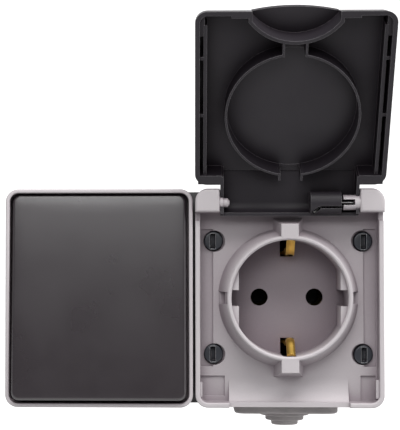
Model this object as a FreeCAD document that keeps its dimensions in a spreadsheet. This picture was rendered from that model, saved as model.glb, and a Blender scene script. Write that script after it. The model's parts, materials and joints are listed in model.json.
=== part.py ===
import FreeCAD, Part
import math
import os
import Sketcher

os.makedirs("parts", exist_ok=True)

# Weatherproof two-gang combination: rocker switch at the left, earthed socket with a hinged lid at the right.
# X runs right, Y runs into the wall, Z runs up; the origin is the centre of the back face.
# Heights from the wall are written as h and are measured along -Y.

doc = FreeCAD.newDocument("weatherproof_combination")
V = FreeCAD.Vector

SIZES = [
    # module outlines
    ("module_width", 63.2, "outer width of one module"),
    ("module_height", 73.4, "outer height of one module"),
    ("module_gap", 0.8, "gap between the two modules"),
    ("module_corner", 4.3, "outer corner radius of a module"),
    ("box_inset", 0.4, "step from module outline to box outline"),
    ("box_depth", 30.0, "height of the box rim above the wall"),
    ("box_wall", 2.0, "side wall of the box"),
    ("box_floor", 2.0, "floor of the box"),
    ("box_partition", 4.0, "web between the two gangs"),
    ("gasket_thick", 1.0, "compressed gasket"),
    ("gasket_width", 2.0, "width of the gasket strip"),
    ("wall_hole_radius", 2.25, "wall fixing hole"),
    ("wall_hole_in_across", 11.6, "wall fixing holes from the outer sides of the modules"),
    ("wall_hole_in_up", 8.7, "wall fixing holes from the upper and lower sides"),
    # screws of both modules
    ("screw_in_across", 6.55, "cover screws from the sides of their module"),
    ("screw_in_up", 17.5, "cover screws from the upper and lower side of their module"),
    ("screw_shank", 1.5, "screw shank radius"),
    ("screw_head", 3.0, "screw head radius"),
    ("screw_head_high", 1.9, "screw head height"),
    ("screw_slot", 1.7, "screw slot width"),
    ("screw_slot_half", 2.4, "screw slot, half length"),
    ("screw_slot_deep", 1.15, "screw slot depth"),
    ("post_radius", 3.7, "screw post radius"),
    # switch module
    ("front_height", 43.5, "front edge of both modules above the wall"),
    ("frame_wall", 1.35, "wall of the switch frame"),
    ("frame_floor_front", 34.5, "front of the frame floor"),
    ("frame_floor_back", 32.3, "back of the frame floor"),
    ("frame_opening_across", 38.0, "opening for the mechanism, across"),
    ("frame_opening_up", 34.0, "opening for the mechanism, upwards"),
    ("rocker_gap", 0.85, "gap between the rocker and the frame wall"),
    ("rocker_corner", 2.6, "rocker corner radius"),
    ("rocker_front", 6.6, "rocker front above its pivot"),
    ("rocker_skirt", 6.4, "rocker skirt height"),
    ("rocker_wall", 1.8, "rocker wall"),
    ("rocker_skin", 2.0, "rocker skin"),
    ("rocker_bevel", 1.0, "bevel round the rocker front"),
    ("rocker_tilt", 2.5, "rocker tilt in degrees, top pressed"),
    ("pivot_height", 38.0, "rocker pivot above the wall"),
    ("pivot_radius", 1.6, "rocker trunnion radius"),
    ("pivot_play", 0.05, "running play of the trunnions"),
    ("carrier_half_width", 15.8, "rocker carrier, half width"),
    ("carrier_half_height", 16.0, "rocker carrier, half height"),
    ("switch_base_across", 37.4, "switch base, across"),
    ("switch_base_up", 56.0, "switch base, upwards"),
    ("switch_base_back", 8.0, "back of the switch base above the wall"),
    ("switch_flange", 2.0, "flange of the switch base"),
    ("lever_height", 21.0, "contact lever pivot above the wall"),
    ("lever_half_length", 10.5, "contact lever, half length"),
    ("lever_thick", 1.2, "contact lever thickness"),
    ("lever_tilt", 6.0, "contact lever tilt in degrees"),
    # socket cover
    ("cover_wall", 1.65, "side wall of the socket cover"),
    ("cover_floor_front", 36.5, "front of the cover floor"),
    ("cover_floor_thick", 2.0, "cover floor"),
    ("rim_height", 46.5, "front of the collar above the wall"),
    ("rim_radius", 20.95, "outer radius of the collar rim"),
    ("shoulder_height", 43.4, "collar shoulder above the wall"),
    ("collar_base", 23.4, "collar radius at the cover floor"),
    ("recess_radius", 19.5, "plug recess radius"),
    ("recess_depth", 17.5, "plug recess depth"),
    ("recess_floor", 2.0, "floor of the plug recess"),
    ("flat_half", 17.0, "side ribs of the recess, distance from the centre"),
    ("flat_reach", 10.6, "side ribs of the recess, half length"),
    ("flat_groove", 5.4, "groove between the side ribs"),
    ("pin_spacing", 19.0, "plug pin spacing"),
    ("pin_hole", 2.95, "plug pin hole radius"),
    ("earth_slot_width", 4.6, "earth slot width"),
    ("earth_slot_inner", 14.0, "inner end of the earth slots"),
    ("pad_half", 5.0, "collar key, half width at its foot"),
    ("pad_reach", 26.9, "collar key, outer end at its foot"),
    ("lug_inner", 23.4, "inner face of a hinge lug from the socket centre"),
    ("lug_front", 46.8, "front of a hinge lug above the wall"),
    ("lug_high", 7.9, "hinge lug, size upwards"),
    ("neck_edge", 38.8, "top wall between the lugs above the wall"),
    ("scoop_half", 20.2, "finger cut-away, half width"),
    ("scoop_edge", 40.5, "finger cut-away edge above the wall"),
    ("scoop_run", 9.7, "finger cut-away, length of the ramp"),
    ("ear_back", 22.0, "back of the socket base ears above the wall"),
    ("ear_thick", 2.0, "socket base ears"),
    # hinge and lid
    ("axis_height", 43.9, "hinge axis above the wall"),
    ("axis_drop", 4.65, "hinge axis below the upper side of the module"),
    ("lid_angle", 148.0, "lid opening in degrees"),
    ("lid_over", 0.05, "lid side beyond the side of the module"),
    ("lid_short", 0.35, "free edge of the shut lid above the lower side of the module"),
    ("lid_slant", 3.1, "free end leans back by this much towards the front face"),
    ("lid_near", 6.9, "hinge axis to near edge of the lid"),
    ("lid_corner", 3.9, "lid corner radius"),
    ("lid_edge", -0.2, "lid rim from the hinge axis plane"),
    ("lid_front", 8.8, "lid front from the hinge axis plane"),
    ("lid_skin", 1.6, "lid skin"),
    ("lid_wall", 1.5, "lid skirt"),
    ("lid_rib_gap", 1.2, "gap between lid skirt and side rib"),
    ("lid_rib", 1.1, "side rib of the lid"),
    ("ring_inner", 21.3, "inner radius of the sealing ring of the lid"),
    ("ring_wall", 0.7, "wall of the sealing ring"),
    ("ring_notch", 3.3, "key pocket of the sealing ring, half width"),
    ("ring_pocket", 25.45, "key pocket of the sealing ring, inner end"),
    ("grip_half", 13.8, "finger grip, half width"),
    ("grip_radius", 17.45, "radius of the finger grip"),
    ("grip_deep", 10.1, "depth of the finger grip"),
    ("grip_wall", 1.1, "wall of the finger grip"),
    ("grip_lip", 1.5, "bulge of the finger lip"),
    ("neck_half", 23.1, "hinge neck, half width"),
    ("neck_radius", 4.5, "hinge neck, outer radius round the axis"),
    ("neck_skin", 1.1, "hinge neck skin"),
    ("neck_cheek", 1.0, "hinge neck side wall"),
    ("spring_stub", 2.55, "slotted hinge stub radius"),
    ("spring_stub_end", 17.9, "end of the slotted hinge stub from the socket centre"),
    ("spring_slot", 1.85, "slot of the hinge stub"),
    ("hinge_play", 0.06, "running play of the hinge"),
    ("stub_collar", 2.0, "moulded hinge stub, collar radius"),
    ("stub_radius", 1.5, "moulded hinge stub radius"),
    ("barrel_radius", 3.9, "spring barrel radius"),
    ("barrel_bore", 2.0, "bore of the spring barrel"),
    ("barrel_start", 6.9, "spring barrel, near end from the socket centre"),
    ("barrel_end", 17.1, "spring barrel, far end from the socket centre"),
    ("coil_radius", 1.55, "lid spring, mean coil radius"),
    ("coil_wire", 0.32, "lid spring, wire radius"),
    ("coil_pitch", 0.95, "lid spring, pitch"),
    # cable entry
    ("entry_height", 15.0, "cable entry axis above the wall"),
    ("entry_radius", 9.5, "cable entry hole radius"),
    ("grommet_half", 18.0, "grommet plate, half width"),
    ("grommet_deep", 24.0, "grommet plate, size away from the wall"),
    ("grommet_plate", 4.2, "grommet plate thickness"),
]

sheet = doc.addObject("Spreadsheet::Sheet", "dims")
for row, (alias, number, note) in enumerate(SIZES, 1):
    sheet.set("A%d" % row, alias)
    sheet.set("B%d" % row, str(number))
    sheet.setAlias("B%d" % row, alias)
    sheet.set("C%d" % row, note)
doc.recompute()


class Size:
    """A size that knows both its value and the sheet expression behind it."""

    def __init__(self, text, value):
        self.text = text
        self.value = value

    def __add__(self, other):
        other = as_size(other)
        return Size("(%s + %s)" % (self.text, other.text), self.value + other.value)

    def __radd__(self, other):
        return as_size(other) + self

    def __sub__(self, other):
        other = as_size(other)
        return Size("(%s - %s)" % (self.text, other.text), self.value - other.value)

    def __rsub__(self, other):
        return as_size(other) - self

    def __mul__(self, other):
        other = as_size(other)
        return Size("(%s * %s)" % (self.text, other.text), self.value * other.value)

    def __rmul__(self, other):
        return as_size(other) * self

    def __truediv__(self, other):
        other = as_size(other)
        return Size("(%s / %s)" % (self.text, other.text), self.value / other.value)

    def __neg__(self):
        return Size("(0 - %s)" % self.text, -self.value)


def as_size(item):
    return item if isinstance(item, Size) else Size("%.6g" % item, float(item))


class Sizes:
    """Gives every alias of the sheet as an attribute."""


S = Sizes()
for alias, number, note in SIZES:
    setattr(S, alias, Size("dims." + alias, float(sheet.get(alias))))


# Document object helpers
def bind(item, path, size):
    item.setExpression(path, as_size(size).text)


def place(item, x=0, h=0, z=0):
    bind(item, "Placement.Base.x", x)
    bind(item, "Placement.Base.y", -as_size(h))
    bind(item, "Placement.Base.z", z)
    return item


def turned_about_x(item, degrees):
    item.Placement = FreeCAD.Placement(V(0, 0, 0), FreeCAD.Rotation(V(1, 0, 0), 1.0))
    bind(item, "Placement.Rotation.Angle", degrees)
    return item


def block(name, x0, x1, h0, h1, z0, z1):
    """A box between two x, two h and two z values."""
    x0, x1, h0, h1, z0, z1 = [as_size(item) for item in (x0, x1, h0, h1, z0, z1)]
    item = doc.addObject("Part::Box", name)
    bind(item, "Length", x1 - x0)
    bind(item, "Width", h1 - h0)
    bind(item, "Height", z1 - z0)
    return place(item, x0, h1, z0)


def rod(name, x, z, h0, h1, radius):
    """A cylinder that stands on the wall direction."""
    item = doc.addObject("Part::Cylinder", name)
    item.Placement = FreeCAD.Placement(V(0, 0, 0), FreeCAD.Rotation(V(1, 0, 0), 90))
    bind(item, "Radius", radius)
    bind(item, "Height", as_size(h1) - h0)
    return place(item, x, h0, z)


def rod_across(name, x0, x1, h, z, radius):
    """A cylinder along X."""
    item = doc.addObject("Part::Cylinder", name)
    item.Placement = FreeCAD.Placement(V(0, 0, 0), FreeCAD.Rotation(V(0, 1, 0), 90))
    bind(item, "Radius", radius)
    bind(item, "Height", as_size(x1) - x0)
    return place(item, x0, h, z)


def rod_up(name, x, h, z0, z1, radius):
    """A cylinder along Z."""
    item = doc.addObject("Part::Cylinder", name)
    bind(item, "Radius", radius)
    bind(item, "Height", as_size(z1) - z0)
    return place(item, x, h, z0)


def fuse(name, *items):
    item = doc.addObject("Part::MultiFuse", name)
    item.Shapes = list(items)
    return item


def cut(name, base, *tools):
    tool = tools[0]
    if len(tools) > 1:
        tool = fuse(name + "_tools", *tools)
    item = doc.addObject("Part::Cut", name)
    item.Base = base
    item.Tool = tool
    return item


def common(name, first, second):
    item = doc.addObject("Part::Common", name)
    item.Base = first
    item.Tool = second
    return item


def compound(name, items):
    item = doc.addObject("Part::Compound", name)
    item.Links = list(items)
    return item


def soften(name, base, radius, wanted):
    """Round the edges of a finished shape that pass the given test."""
    doc.recompute()
    chosen = []
    for number, edge in enumerate(base.Shape.Edges, 1):
        if wanted(edge):
            chosen.append((number, as_size(radius).value, as_size(radius).value))
    item = doc.addObject("Part::Fillet", name)
    item.Base = base
    item.Edges = chosen
    return item


# Sketch helpers
def new_body(name):
    body = doc.addObject("PartDesign::Body", name)
    body.Label = name
    return body


def new_sketch(body, plane, x=0, y=0, offset=0):
    sketch = body.newObject("Sketcher::SketchObject", body.Name + "_sketch")
    support = [item for item in body.Origin.OriginFeatures if item.Role == plane][0]
    sketch.AttachmentSupport = [(support, "")]
    sketch.MapMode = "FlatFace"
    bind(sketch, "AttachmentOffset.Base.x", x)
    bind(sketch, "AttachmentOffset.Base.y", y)
    bind(sketch, "AttachmentOffset.Base.z", offset)
    return sketch


def dimension(sketch, constraint, size):
    number = sketch.addConstraint(constraint)
    sketch.setExpression("Constraints[%d]" % number, as_size(size).text)


def add_rounded(sketch, wide, tall, radius):
    """A rounded rectangle centred on the sketch origin."""
    wide, tall, radius = as_size(wide), as_size(tall), as_size(radius)
    reach_x = wide.value / 2 - radius.value
    reach_y = tall.value / 2 - radius.value
    first = sketch.GeometryCount
    for number, (sx, sy) in enumerate(((1, 1), (-1, 1), (-1, -1), (1, -1))):
        circle = Part.Circle(V(sx * reach_x, sy * reach_y, 0), V(0, 0, 1), radius.value)
        start = number * math.pi / 2
        sketch.addGeometry(Part.ArcOfCircle(circle, start, start + math.pi / 2), False)
    for number in range(4):
        begin = sketch.getPoint(first + number, 2)
        end = sketch.getPoint(first + (number + 1) % 4, 1)
        sketch.addGeometry(Part.LineSegment(begin, end), False)
    for number in range(4):
        line = first + 4 + number
        sketch.addConstraint(Sketcher.Constraint("Tangent", first + number, 2, line, 1))
        sketch.addConstraint(Sketcher.Constraint("Tangent", line, 2, first + (number + 1) % 4, 1))
        sketch.addConstraint(Sketcher.Constraint("Horizontal" if number % 2 == 0 else "Vertical", line))
        if number:
            sketch.addConstraint(Sketcher.Constraint("Equal", first, first + number))
    sketch.addConstraint(Sketcher.Constraint("Symmetric", first, 3, first + 2, 3, -1, 1))
    dimension(sketch, Sketcher.Constraint("Radius", first, radius.value), radius)
    dimension(sketch, Sketcher.Constraint("DistanceX", first + 5, 1, first + 7, 1, wide.value), wide)
    dimension(sketch, Sketcher.Constraint("DistanceY", first + 6, 1, first + 4, 1, tall.value), tall)


def add_circle(sketch, x, y, radius):
    x, y, radius = as_size(x), as_size(y), as_size(radius)
    number = sketch.addGeometry(Part.Circle(V(x.value, y.value, 0), V(0, 0, 1), radius.value), False)
    dimension(sketch, Sketcher.Constraint("DistanceX", -1, 1, number, 3, x.value), x)
    dimension(sketch, Sketcher.Constraint("DistanceY", -1, 1, number, 3, y.value), y)
    dimension(sketch, Sketcher.Constraint("Radius", number, radius.value), radius)


def add_polygon(sketch, points):
    """A closed outline with every corner held by two sheet sizes."""
    points = [(as_size(x), as_size(y)) for x, y in points]
    count = len(points)
    first = sketch.GeometryCount
    for number in range(count):
        begin = points[number]
        end = points[(number + 1) % count]
        line = Part.LineSegment(V(begin[0].value, begin[1].value, 0), V(end[0].value, end[1].value, 0))
        sketch.addGeometry(line, False)
    for number, (x, y) in enumerate(points):
        line = first + number
        sketch.addConstraint(Sketcher.Constraint("Coincident", line, 2, first + (number + 1) % count, 1))
        dimension(sketch, Sketcher.Constraint("DistanceX", -1, 1, line, 1, x.value), x)
        dimension(sketch, Sketcher.Constraint("DistanceY", -1, 1, line, 1, y.value), y)


def pad(body, sketch, length, taper=0):
    item = body.newObject("PartDesign::Pad", body.Name + "_pad")
    item.Profile = sketch
    bind(item, "Length", length)
    if taper:
        bind(item, "TaperAngle", taper)
    body.Tip = item
    doc.recompute()
    return item


def pocket(body, sketch, length):
    item = body.newObject("PartDesign::Pocket", body.Name + "_pocket")
    item.Profile = sketch
    bind(item, "Length", length)
    body.Tip = item
    doc.recompute()
    return item


def spin(body, sketch, axis="V_Axis"):
    item = body.newObject("PartDesign::Revolution", body.Name + "_turn")
    item.Profile = sketch
    item.ReferenceAxis = (sketch, [axis])
    item.Angle = 360
    body.Tip = item
    doc.recompute()
    return item


def edge_names(shape, wanted):
    return ["Edge%d" % number for number, edge in enumerate(shape.Edges, 1) if wanted(edge)]


def fillet(body, radius, wanted):
    base = body.Tip
    item = body.newObject("PartDesign::Fillet", body.Name + "_fillet")
    item.Base = (base, edge_names(base.Shape, wanted))
    bind(item, "Radius", radius)
    body.Tip = item
    doc.recompute()
    return item


def chamfer(body, size, wanted):
    base = body.Tip
    item = body.newObject("PartDesign::Chamfer", body.Name + "_chamfer")
    item.Base = (base, edge_names(base.Shape, wanted))
    bind(item, "Size", size)
    body.Tip = item
    doc.recompute()
    return item


def at_height(height, tolerance=0.01):
    """Test for edges that lie flat at one height from the wall."""
    def test(edge):
        box = edge.BoundBox
        return abs(box.YMin + height) < tolerance and abs(box.YMax + height) < tolerance
    return test


def slab(name, x, z, wide, tall, radius, h0, h1):
    """A rounded rectangular plate."""
    body = new_body(name)
    sketch = new_sketch(body, "XZ_Plane", x, z, h0)
    add_rounded(sketch, wide, tall, radius)
    pad(body, sketch, as_size(h1) - h0)
    return body


def profile_across(name, x0, x1, points):
    """A prism along X from (h, z) points."""
    body = new_body(name)
    sketch = new_sketch(body, "YZ_Plane", 0, 0, x0)
    add_polygon(sketch, [(-as_size(h), z) for h, z in points])
    pad(body, sketch, as_size(x1) - x0)
    return body


def turned(name, x, z, points):
    """A turned form about the wall direction from (radius, h) points."""
    body = new_body(name)
    sketch = new_sketch(body, "XY_Plane", x, 0, z)
    add_polygon(sketch, [(radius, -as_size(h)) for radius, h in points])
    spin(body, sketch)
    return body


def turned_up(name, x, h, points):
    """A turned form about Z from (radius, z) points."""
    body = new_body(name)
    sketch = new_sketch(body, "XZ_Plane", x, 0, h)
    add_polygon(sketch, points)
    spin(body, sketch)
    return body


# Shared positions
half_pitch = (S.module_width + S.module_gap) / 2
left_x = -half_pitch
right_x = half_pitch
half_high = S.module_height / 2
half_wide = S.module_width / 2
whole_wide = 2 * (half_pitch + half_wide)
box_wide = whole_wide - 2 * S.box_inset
box_high = S.module_height - 2 * S.box_inset
cell_wide = (box_wide - 2 * S.box_wall - S.box_partition) / 2
cell_high = box_high - 2 * S.box_wall
cell_x = (cell_wide + S.box_partition) / 2
skirt_back = S.box_depth + S.gasket_thick
switch_flange_back = S.frame_floor_back - S.switch_flange
corner_signs = ((-1, -1), (1, -1), (1, 1), (-1, 1))
screw_across = S.module_width - 2 * S.screw_in_across
screw_up = S.module_height - 2 * S.screw_in_up
screw_offsets = [(sx * screw_across / 2, sz * screw_up / 2) for sx, sz in corner_signs]
wall_hole_across = whole_wide - 2 * S.wall_hole_in_across
wall_hole_up = S.module_height - 2 * S.wall_hole_in_up
rocker_width = S.module_width - 2 * (S.frame_wall + S.rocker_gap)
rocker_height = S.module_height - 2 * (S.frame_wall + S.rocker_gap)
axis_up = half_high - S.axis_drop
lid_half = half_wide + S.lid_over
lid_free = half_high + axis_up - S.lid_short

nodes = []


def finish(item, name):
    item.Label = name
    nodes.append(item)
    return item


# Back box with posts, cable entry and wall fixing holes
def make_back_box():
    body = new_body("box_shell")
    sketch = new_sketch(body, "XZ_Plane")
    add_rounded(sketch, box_wide, box_high, S.module_corner - S.box_inset)
    pad(body, sketch, S.box_depth)
    chamfer(body, 0.6, at_height(0))
    for sign in (-1, 1):
        sketch = new_sketch(body, "XZ_Plane", sign * cell_x, 0, S.box_depth)
        add_rounded(sketch, cell_wide, cell_high, 2.2)
        pocket(body, sketch, S.box_depth - S.box_floor)
    sketch = new_sketch(body, "XZ_Plane", 0, 0, S.box_floor)
    for sx, sz in corner_signs:
        add_circle(sketch, sx * wall_hole_across / 2, sz * wall_hole_up / 2, S.wall_hole_radius)
    pocket(body, sketch, S.box_floor)
    solids = [body]
    holes = []
    for centre, top in ((left_x, switch_flange_back), (right_x, S.ear_back)):
        for number, (dx, dz) in enumerate(screw_offsets):
            tag = "post_%s_%d" % ("left" if centre is left_x else "right", number)
            x = centre + dx
            side = 1 if dx.value > 0 else -1
            solids.append(rod(tag, x, dz, S.box_floor - 0.5, top, S.post_radius))
            edge = centre + side * (half_wide - S.box_inset - 0.5)
            low, high = (x, edge) if side > 0 else (edge, x)
            solids.append(block(tag + "_web", low, high, S.box_floor - 0.5, top - 4, dz - 0.9, dz + 0.9))
            holes.append(rod(tag + "_hole", x, dz, 6, top + 1, S.screw_shank))
    for sx, sz in corner_signs:
        tag = "wall_pad_%d_%d" % (sx + 1, sz + 1)
        x = sx * wall_hole_across / 2
        z = sz * wall_hole_up / 2
        solids.append(cut(tag, rod(tag + "_boss", x, z, S.box_floor - 0.3, S.box_floor + 1.2, 4.4),
                          rod(tag + "_bore", x, z, 0, S.box_floor + 2, S.wall_hole_radius)))
    shell = fuse("box_with_posts", *solids)
    bottom = -box_high / 2
    holes.append(rod_up("entry_hole", right_x, S.entry_height, bottom - 1, bottom + S.box_wall + 1,
                        S.entry_radius))
    holes.append(block("wire_pass", -S.box_partition, S.box_partition, 5, 14, -9, 9))
    for sign, z in ((-1, bottom), (-1, -bottom), (1, -bottom)):
        tag = "knockout_%d_%d" % (sign + 1, 1 if z is bottom else 2)
        x = sign * half_pitch
        ring = cut(tag, rod_up(tag + "_outer", x, S.entry_height, z - 0.5, z + 0.5, S.entry_radius),
                   rod_up(tag + "_inner", x, S.entry_height, z - 1, z + 1, S.entry_radius - 0.8))
        holes.append(ring)
    return finish(cut("back_box", shell, *holes), "back_box")


# Rubber cable grommet under the socket gang
def make_grommet():
    bottom = -box_high / 2
    plate_end = bottom - S.grommet_plate
    bore = S.entry_radius
    body = turned_up("grommet_core", right_x, S.entry_height, [
        (3.2, plate_end - 4.7),
        (4.65, plate_end - 4.7),
        (4.65, plate_end - 3.2),
        (6.7, plate_end - 3.0),
        (6.7, plate_end - 1.4),
        (8.75, plate_end - 1.2),
        (8.75, plate_end + 0.5),
        (bore, plate_end + 0.5),
        (bore, bottom + S.box_wall),
        (bore + 1.6, bottom + S.box_wall),
        (bore + 0.4, bottom + S.box_wall + 2.0),
        (7.6, bottom + S.box_wall + 2.0),
        (7.6, plate_end + 0.2),
        (5.4, plate_end - 1.8),
        (3.2, plate_end - 3.6),
    ])
    membrane = rod_up("grommet_tip", right_x, S.entry_height, plate_end - 4.7, plate_end - 3.9, 3.4)
    plate = new_body("grommet_plate_body")
    sketch = new_sketch(plate, "XY_Plane", right_x, -S.entry_height, plate_end)
    add_rounded(sketch, 2 * S.grommet_half, S.grommet_deep, 4.0)
    pad(plate, sketch, S.grommet_plate)
    fillet(plate, 0.9, lambda edge: edge.BoundBox.ZMax < plate_end.value + 0.05)
    hollow = rod_up("grommet_hollow", right_x, S.entry_height, plate_end - 0.5, bottom + 1, S.entry_radius - 0.2)
    return finish(fuse("cable_grommet", cut("grommet_ring", plate, hollow), body, membrane), "cable_grommet")


def make_gasket(name, centre):
    body = new_body(name)
    sketch = new_sketch(body, "XZ_Plane", centre, 0, S.box_depth)
    wide = S.module_width - 2 * S.box_inset
    add_rounded(sketch, wide, box_high, S.module_corner - S.box_inset)
    add_rounded(sketch, wide - 2 * S.gasket_width, box_high - 2 * S.gasket_width, 2.2)
    pad(body, sketch, S.gasket_thick)
    return finish(body, name)


# Switch module
def make_switch_frame():
    body = new_body("switch_frame")
    sketch = new_sketch(body, "XZ_Plane", left_x, 0, skirt_back)
    add_rounded(sketch, S.module_width, S.module_height, S.module_corner)
    pad(body, sketch, S.front_height - skirt_back)
    sketch = new_sketch(body, "XZ_Plane", left_x, 0, S.front_height)
    add_rounded(sketch, S.module_width - 2 * S.frame_wall, S.module_height - 2 * S.frame_wall,
                S.module_corner - S.frame_wall)
    pocket(body, sketch, S.front_height - S.frame_floor_front)
    sketch = new_sketch(body, "XZ_Plane", left_x, 0, S.frame_floor_back)
    add_rounded(sketch, S.module_width - 3.6, S.module_height - 3.6, 2.5)
    pocket(body, sketch, S.frame_floor_back - skirt_back)
    sketch = new_sketch(body, "XZ_Plane", left_x, 0, S.frame_floor_front)
    add_rounded(sketch, S.frame_opening_across, S.frame_opening_up, 1.5)
    for dx, dz in screw_offsets:
        add_circle(sketch, dx, dz, S.screw_shank + 0.3)
    pocket(body, sketch, S.frame_floor_front - S.frame_floor_back + 0.5)
    fillet(body, 0.45, at_height(S.front_height.value))
    return finish(body, "switch_frame")


def make_screw(name, x, z, seat, length):
    """A slotted screw whose head rests on the given height."""
    top = seat + S.screw_head_high
    body = turned(name, x, z, [
        (0, seat - length),
        (S.screw_shank - 0.6, seat - length),
        (S.screw_shank, seat - length + 1.2),
        (S.screw_shank, seat),
        (S.screw_head, seat),
        (S.screw_head, top - 0.4),
        (S.screw_head - 0.4, top),
        (0, top),
    ])
    sketch = new_sketch(body, "XZ_Plane", x, z, top)
    half_slot = S.screw_slot / 2
    reach = S.screw_slot_half
    add_polygon(sketch, [(-half_slot, -reach), (half_slot, -reach), (half_slot, reach), (-half_slot, reach)])
    pocket(body, sketch, S.screw_slot_deep)
    return body


def make_rocker():
    body = new_body("rocker_shell")
    front = S.rocker_front
    back = front - S.rocker_skirt
    sketch = new_sketch(body, "XZ_Plane", 0, 0, back)
    add_rounded(sketch, rocker_width, rocker_height, S.rocker_corner)
    pad(body, sketch, S.rocker_skirt)
    chamfer(body, S.rocker_bevel, at_height(front.value))
    fillet(body, 0.4, at_height(front.value))
    sketch = new_sketch(body, "XZ_Plane", 0, 0, front - S.rocker_skin)
    add_rounded(sketch, rocker_width - 2 * S.rocker_wall, rocker_height - 2 * S.rocker_wall, 1.4)
    pocket(body, sketch, S.rocker_skirt - S.rocker_skin)
    skin = front - S.rocker_skin
    ribs = []
    for number, x in enumerate((-21.5, 21.5)):
        ribs.append(block("rocker_rib_%d" % number, x - 0.7, x + 0.7, skin - 1.6, skin + 0.3, -32, 32))
    for number, z in enumerate((-25.0, 25.0)):
        ribs.append(block("rocker_web_%d" % number, -28, 28, skin - 1.6, skin + 0.3, z - 0.7, z + 0.7))
    for sx in (-1, 1):
        for sz in (-1, 1):
            tag = "rocker_clip_%d_%d" % (sx + 1, sz + 1)
            x = sx * (S.carrier_half_width - 4.0)
            z = sz * (S.carrier_half_height + 1.0)
            ribs.append(block(tag, x - 2.5, x + 2.5, skin - 5.2, skin + 0.3, z - 0.8, z + 0.8))
    whole = fuse("rocker_whole", body, *ribs)
    turned_about_x(whole, -S.rocker_tilt)
    place(whole, left_x, S.pivot_height, 0)
    return finish(whole, "rocker")


def make_carrier():
    half = S.carrier_half_width
    high = S.carrier_half_height
    skin = S.rocker_front - S.rocker_skin
    plate = block("carrier_plate", -half, half, skin - 2.2, skin, -high, high)
    reach = half + 2.2
    axle = rod_across("carrier_axle", -reach, reach, 0, 0, S.pivot_radius)
    web = block("carrier_web", -half, half, 0, skin - 1, -2.6, 2.6)
    sleeve = rod("carrier_sleeve", 0, 0, -9.5, skin - 1, 3.9)
    bore = rod("carrier_bore", 0, 0, -10, 0.5, 2.4)
    clips = []
    for sx in (-1, 1):
        for sz in (-1, 1):
            tag = "carrier_window_%d_%d" % (sx + 1, sz + 1)
            x = sx * (half - 4.0)
            inner, outer = sz * (high - 1.6), sz * (high + 1)
            low, top = (inner, outer) if sz > 0 else (outer, inner)
            clips.append(block(tag, x - 1.6, x + 1.6, skin - 1.6, skin - 0.6, low, top))
    whole = cut("carrier_whole", fuse("carrier_solid", plate, axle, web, sleeve), bore, *clips)
    turned_about_x(whole, -S.rocker_tilt)
    place(whole, left_x, S.pivot_height, 0)
    return finish(whole, "rocker_carrier")


def wire_form(name, points, radius, sides=7):
    """Bent wire: a loft through small polygons set square to the path."""
    sections = []
    side = None
    for number, point in enumerate(points):
        before = points[max(number - 1, 0)]
        after = points[min(number + 1, len(points) - 1)]
        along = (after - before).normalize()
        if side is None:
            side = along.cross(V(0.31, 0.52, 0.79))
        side = (side - along * side.dot(along)).normalize()
        other = along.cross(side)
        ring = []
        for step in range(sides + 1):
            angle = 2 * math.pi * step / sides
            ring.append(point + side * (radius * math.cos(angle)) + other * (radius * math.sin(angle)))
        sections.append(Part.makePolygon(ring))
    item = doc.addObject("Part::Feature", name)
    item.Shape = Part.makeLoft(sections, True, True)
    return item


def make_plunger():
    body = turned("plunger_core", 0, 0, [
        (0, -14.2),
        (0.9, -13.9),
        (1.5, -13.2),
        (1.8, -12.3),
        (1.8, -10.0),
        (2.3, -9.6),
        (2.3, -6.2),
        (1.2, -6.2),
        (1.2, -3.4),
        (0, -3.4),
    ])
    turned_about_x(body, -S.rocker_tilt)
    place(body, left_x, S.pivot_height, 0)
    return finish(body, "plunger")


def make_switch_spring():
    points = []
    for step in range(4 * 14 + 11):
        angle = 2 * math.pi * step / 14
        points.append(V(1.75 * math.cos(angle), 6.0 - 1.3 * step / 14, 1.75 * math.sin(angle)))
    coil = wire_form("switch_coil", points, 0.22)
    whole = compound("switch_spring_whole", [coil])
    turned_about_x(whole, -S.rocker_tilt)
    place(whole, left_x, S.pivot_height, 0)
    return finish(whole, "plunger_spring")


def make_lever():
    half = S.lever_half_length
    thick = S.lever_thick
    arm = profile_across("lever_arm", -2.6, 2.6, [
        (0, -1.2),
        (0.9, -half),
        (0.9 + thick, -half),
        (thick + 2.3, -3.4),
        (thick + 1.3, 0),
        (thick + 2.3, 3.4),
        (0.9 + thick, half),
        (0.9, half),
        (0, 1.2),
    ])
    buttons = []
    for sign in (-1, 1):
        z = sign * (half - 2.0)
        buttons.append(rod("lever_button_%d" % (sign + 1), 0, z, -0.3, 1.4, 1.6))
    whole = fuse("lever_whole", arm, *buttons)
    turned_about_x(whole, S.lever_tilt)
    place(whole, left_x, S.lever_height, 0)
    return finish(whole, "contact_lever")


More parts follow.
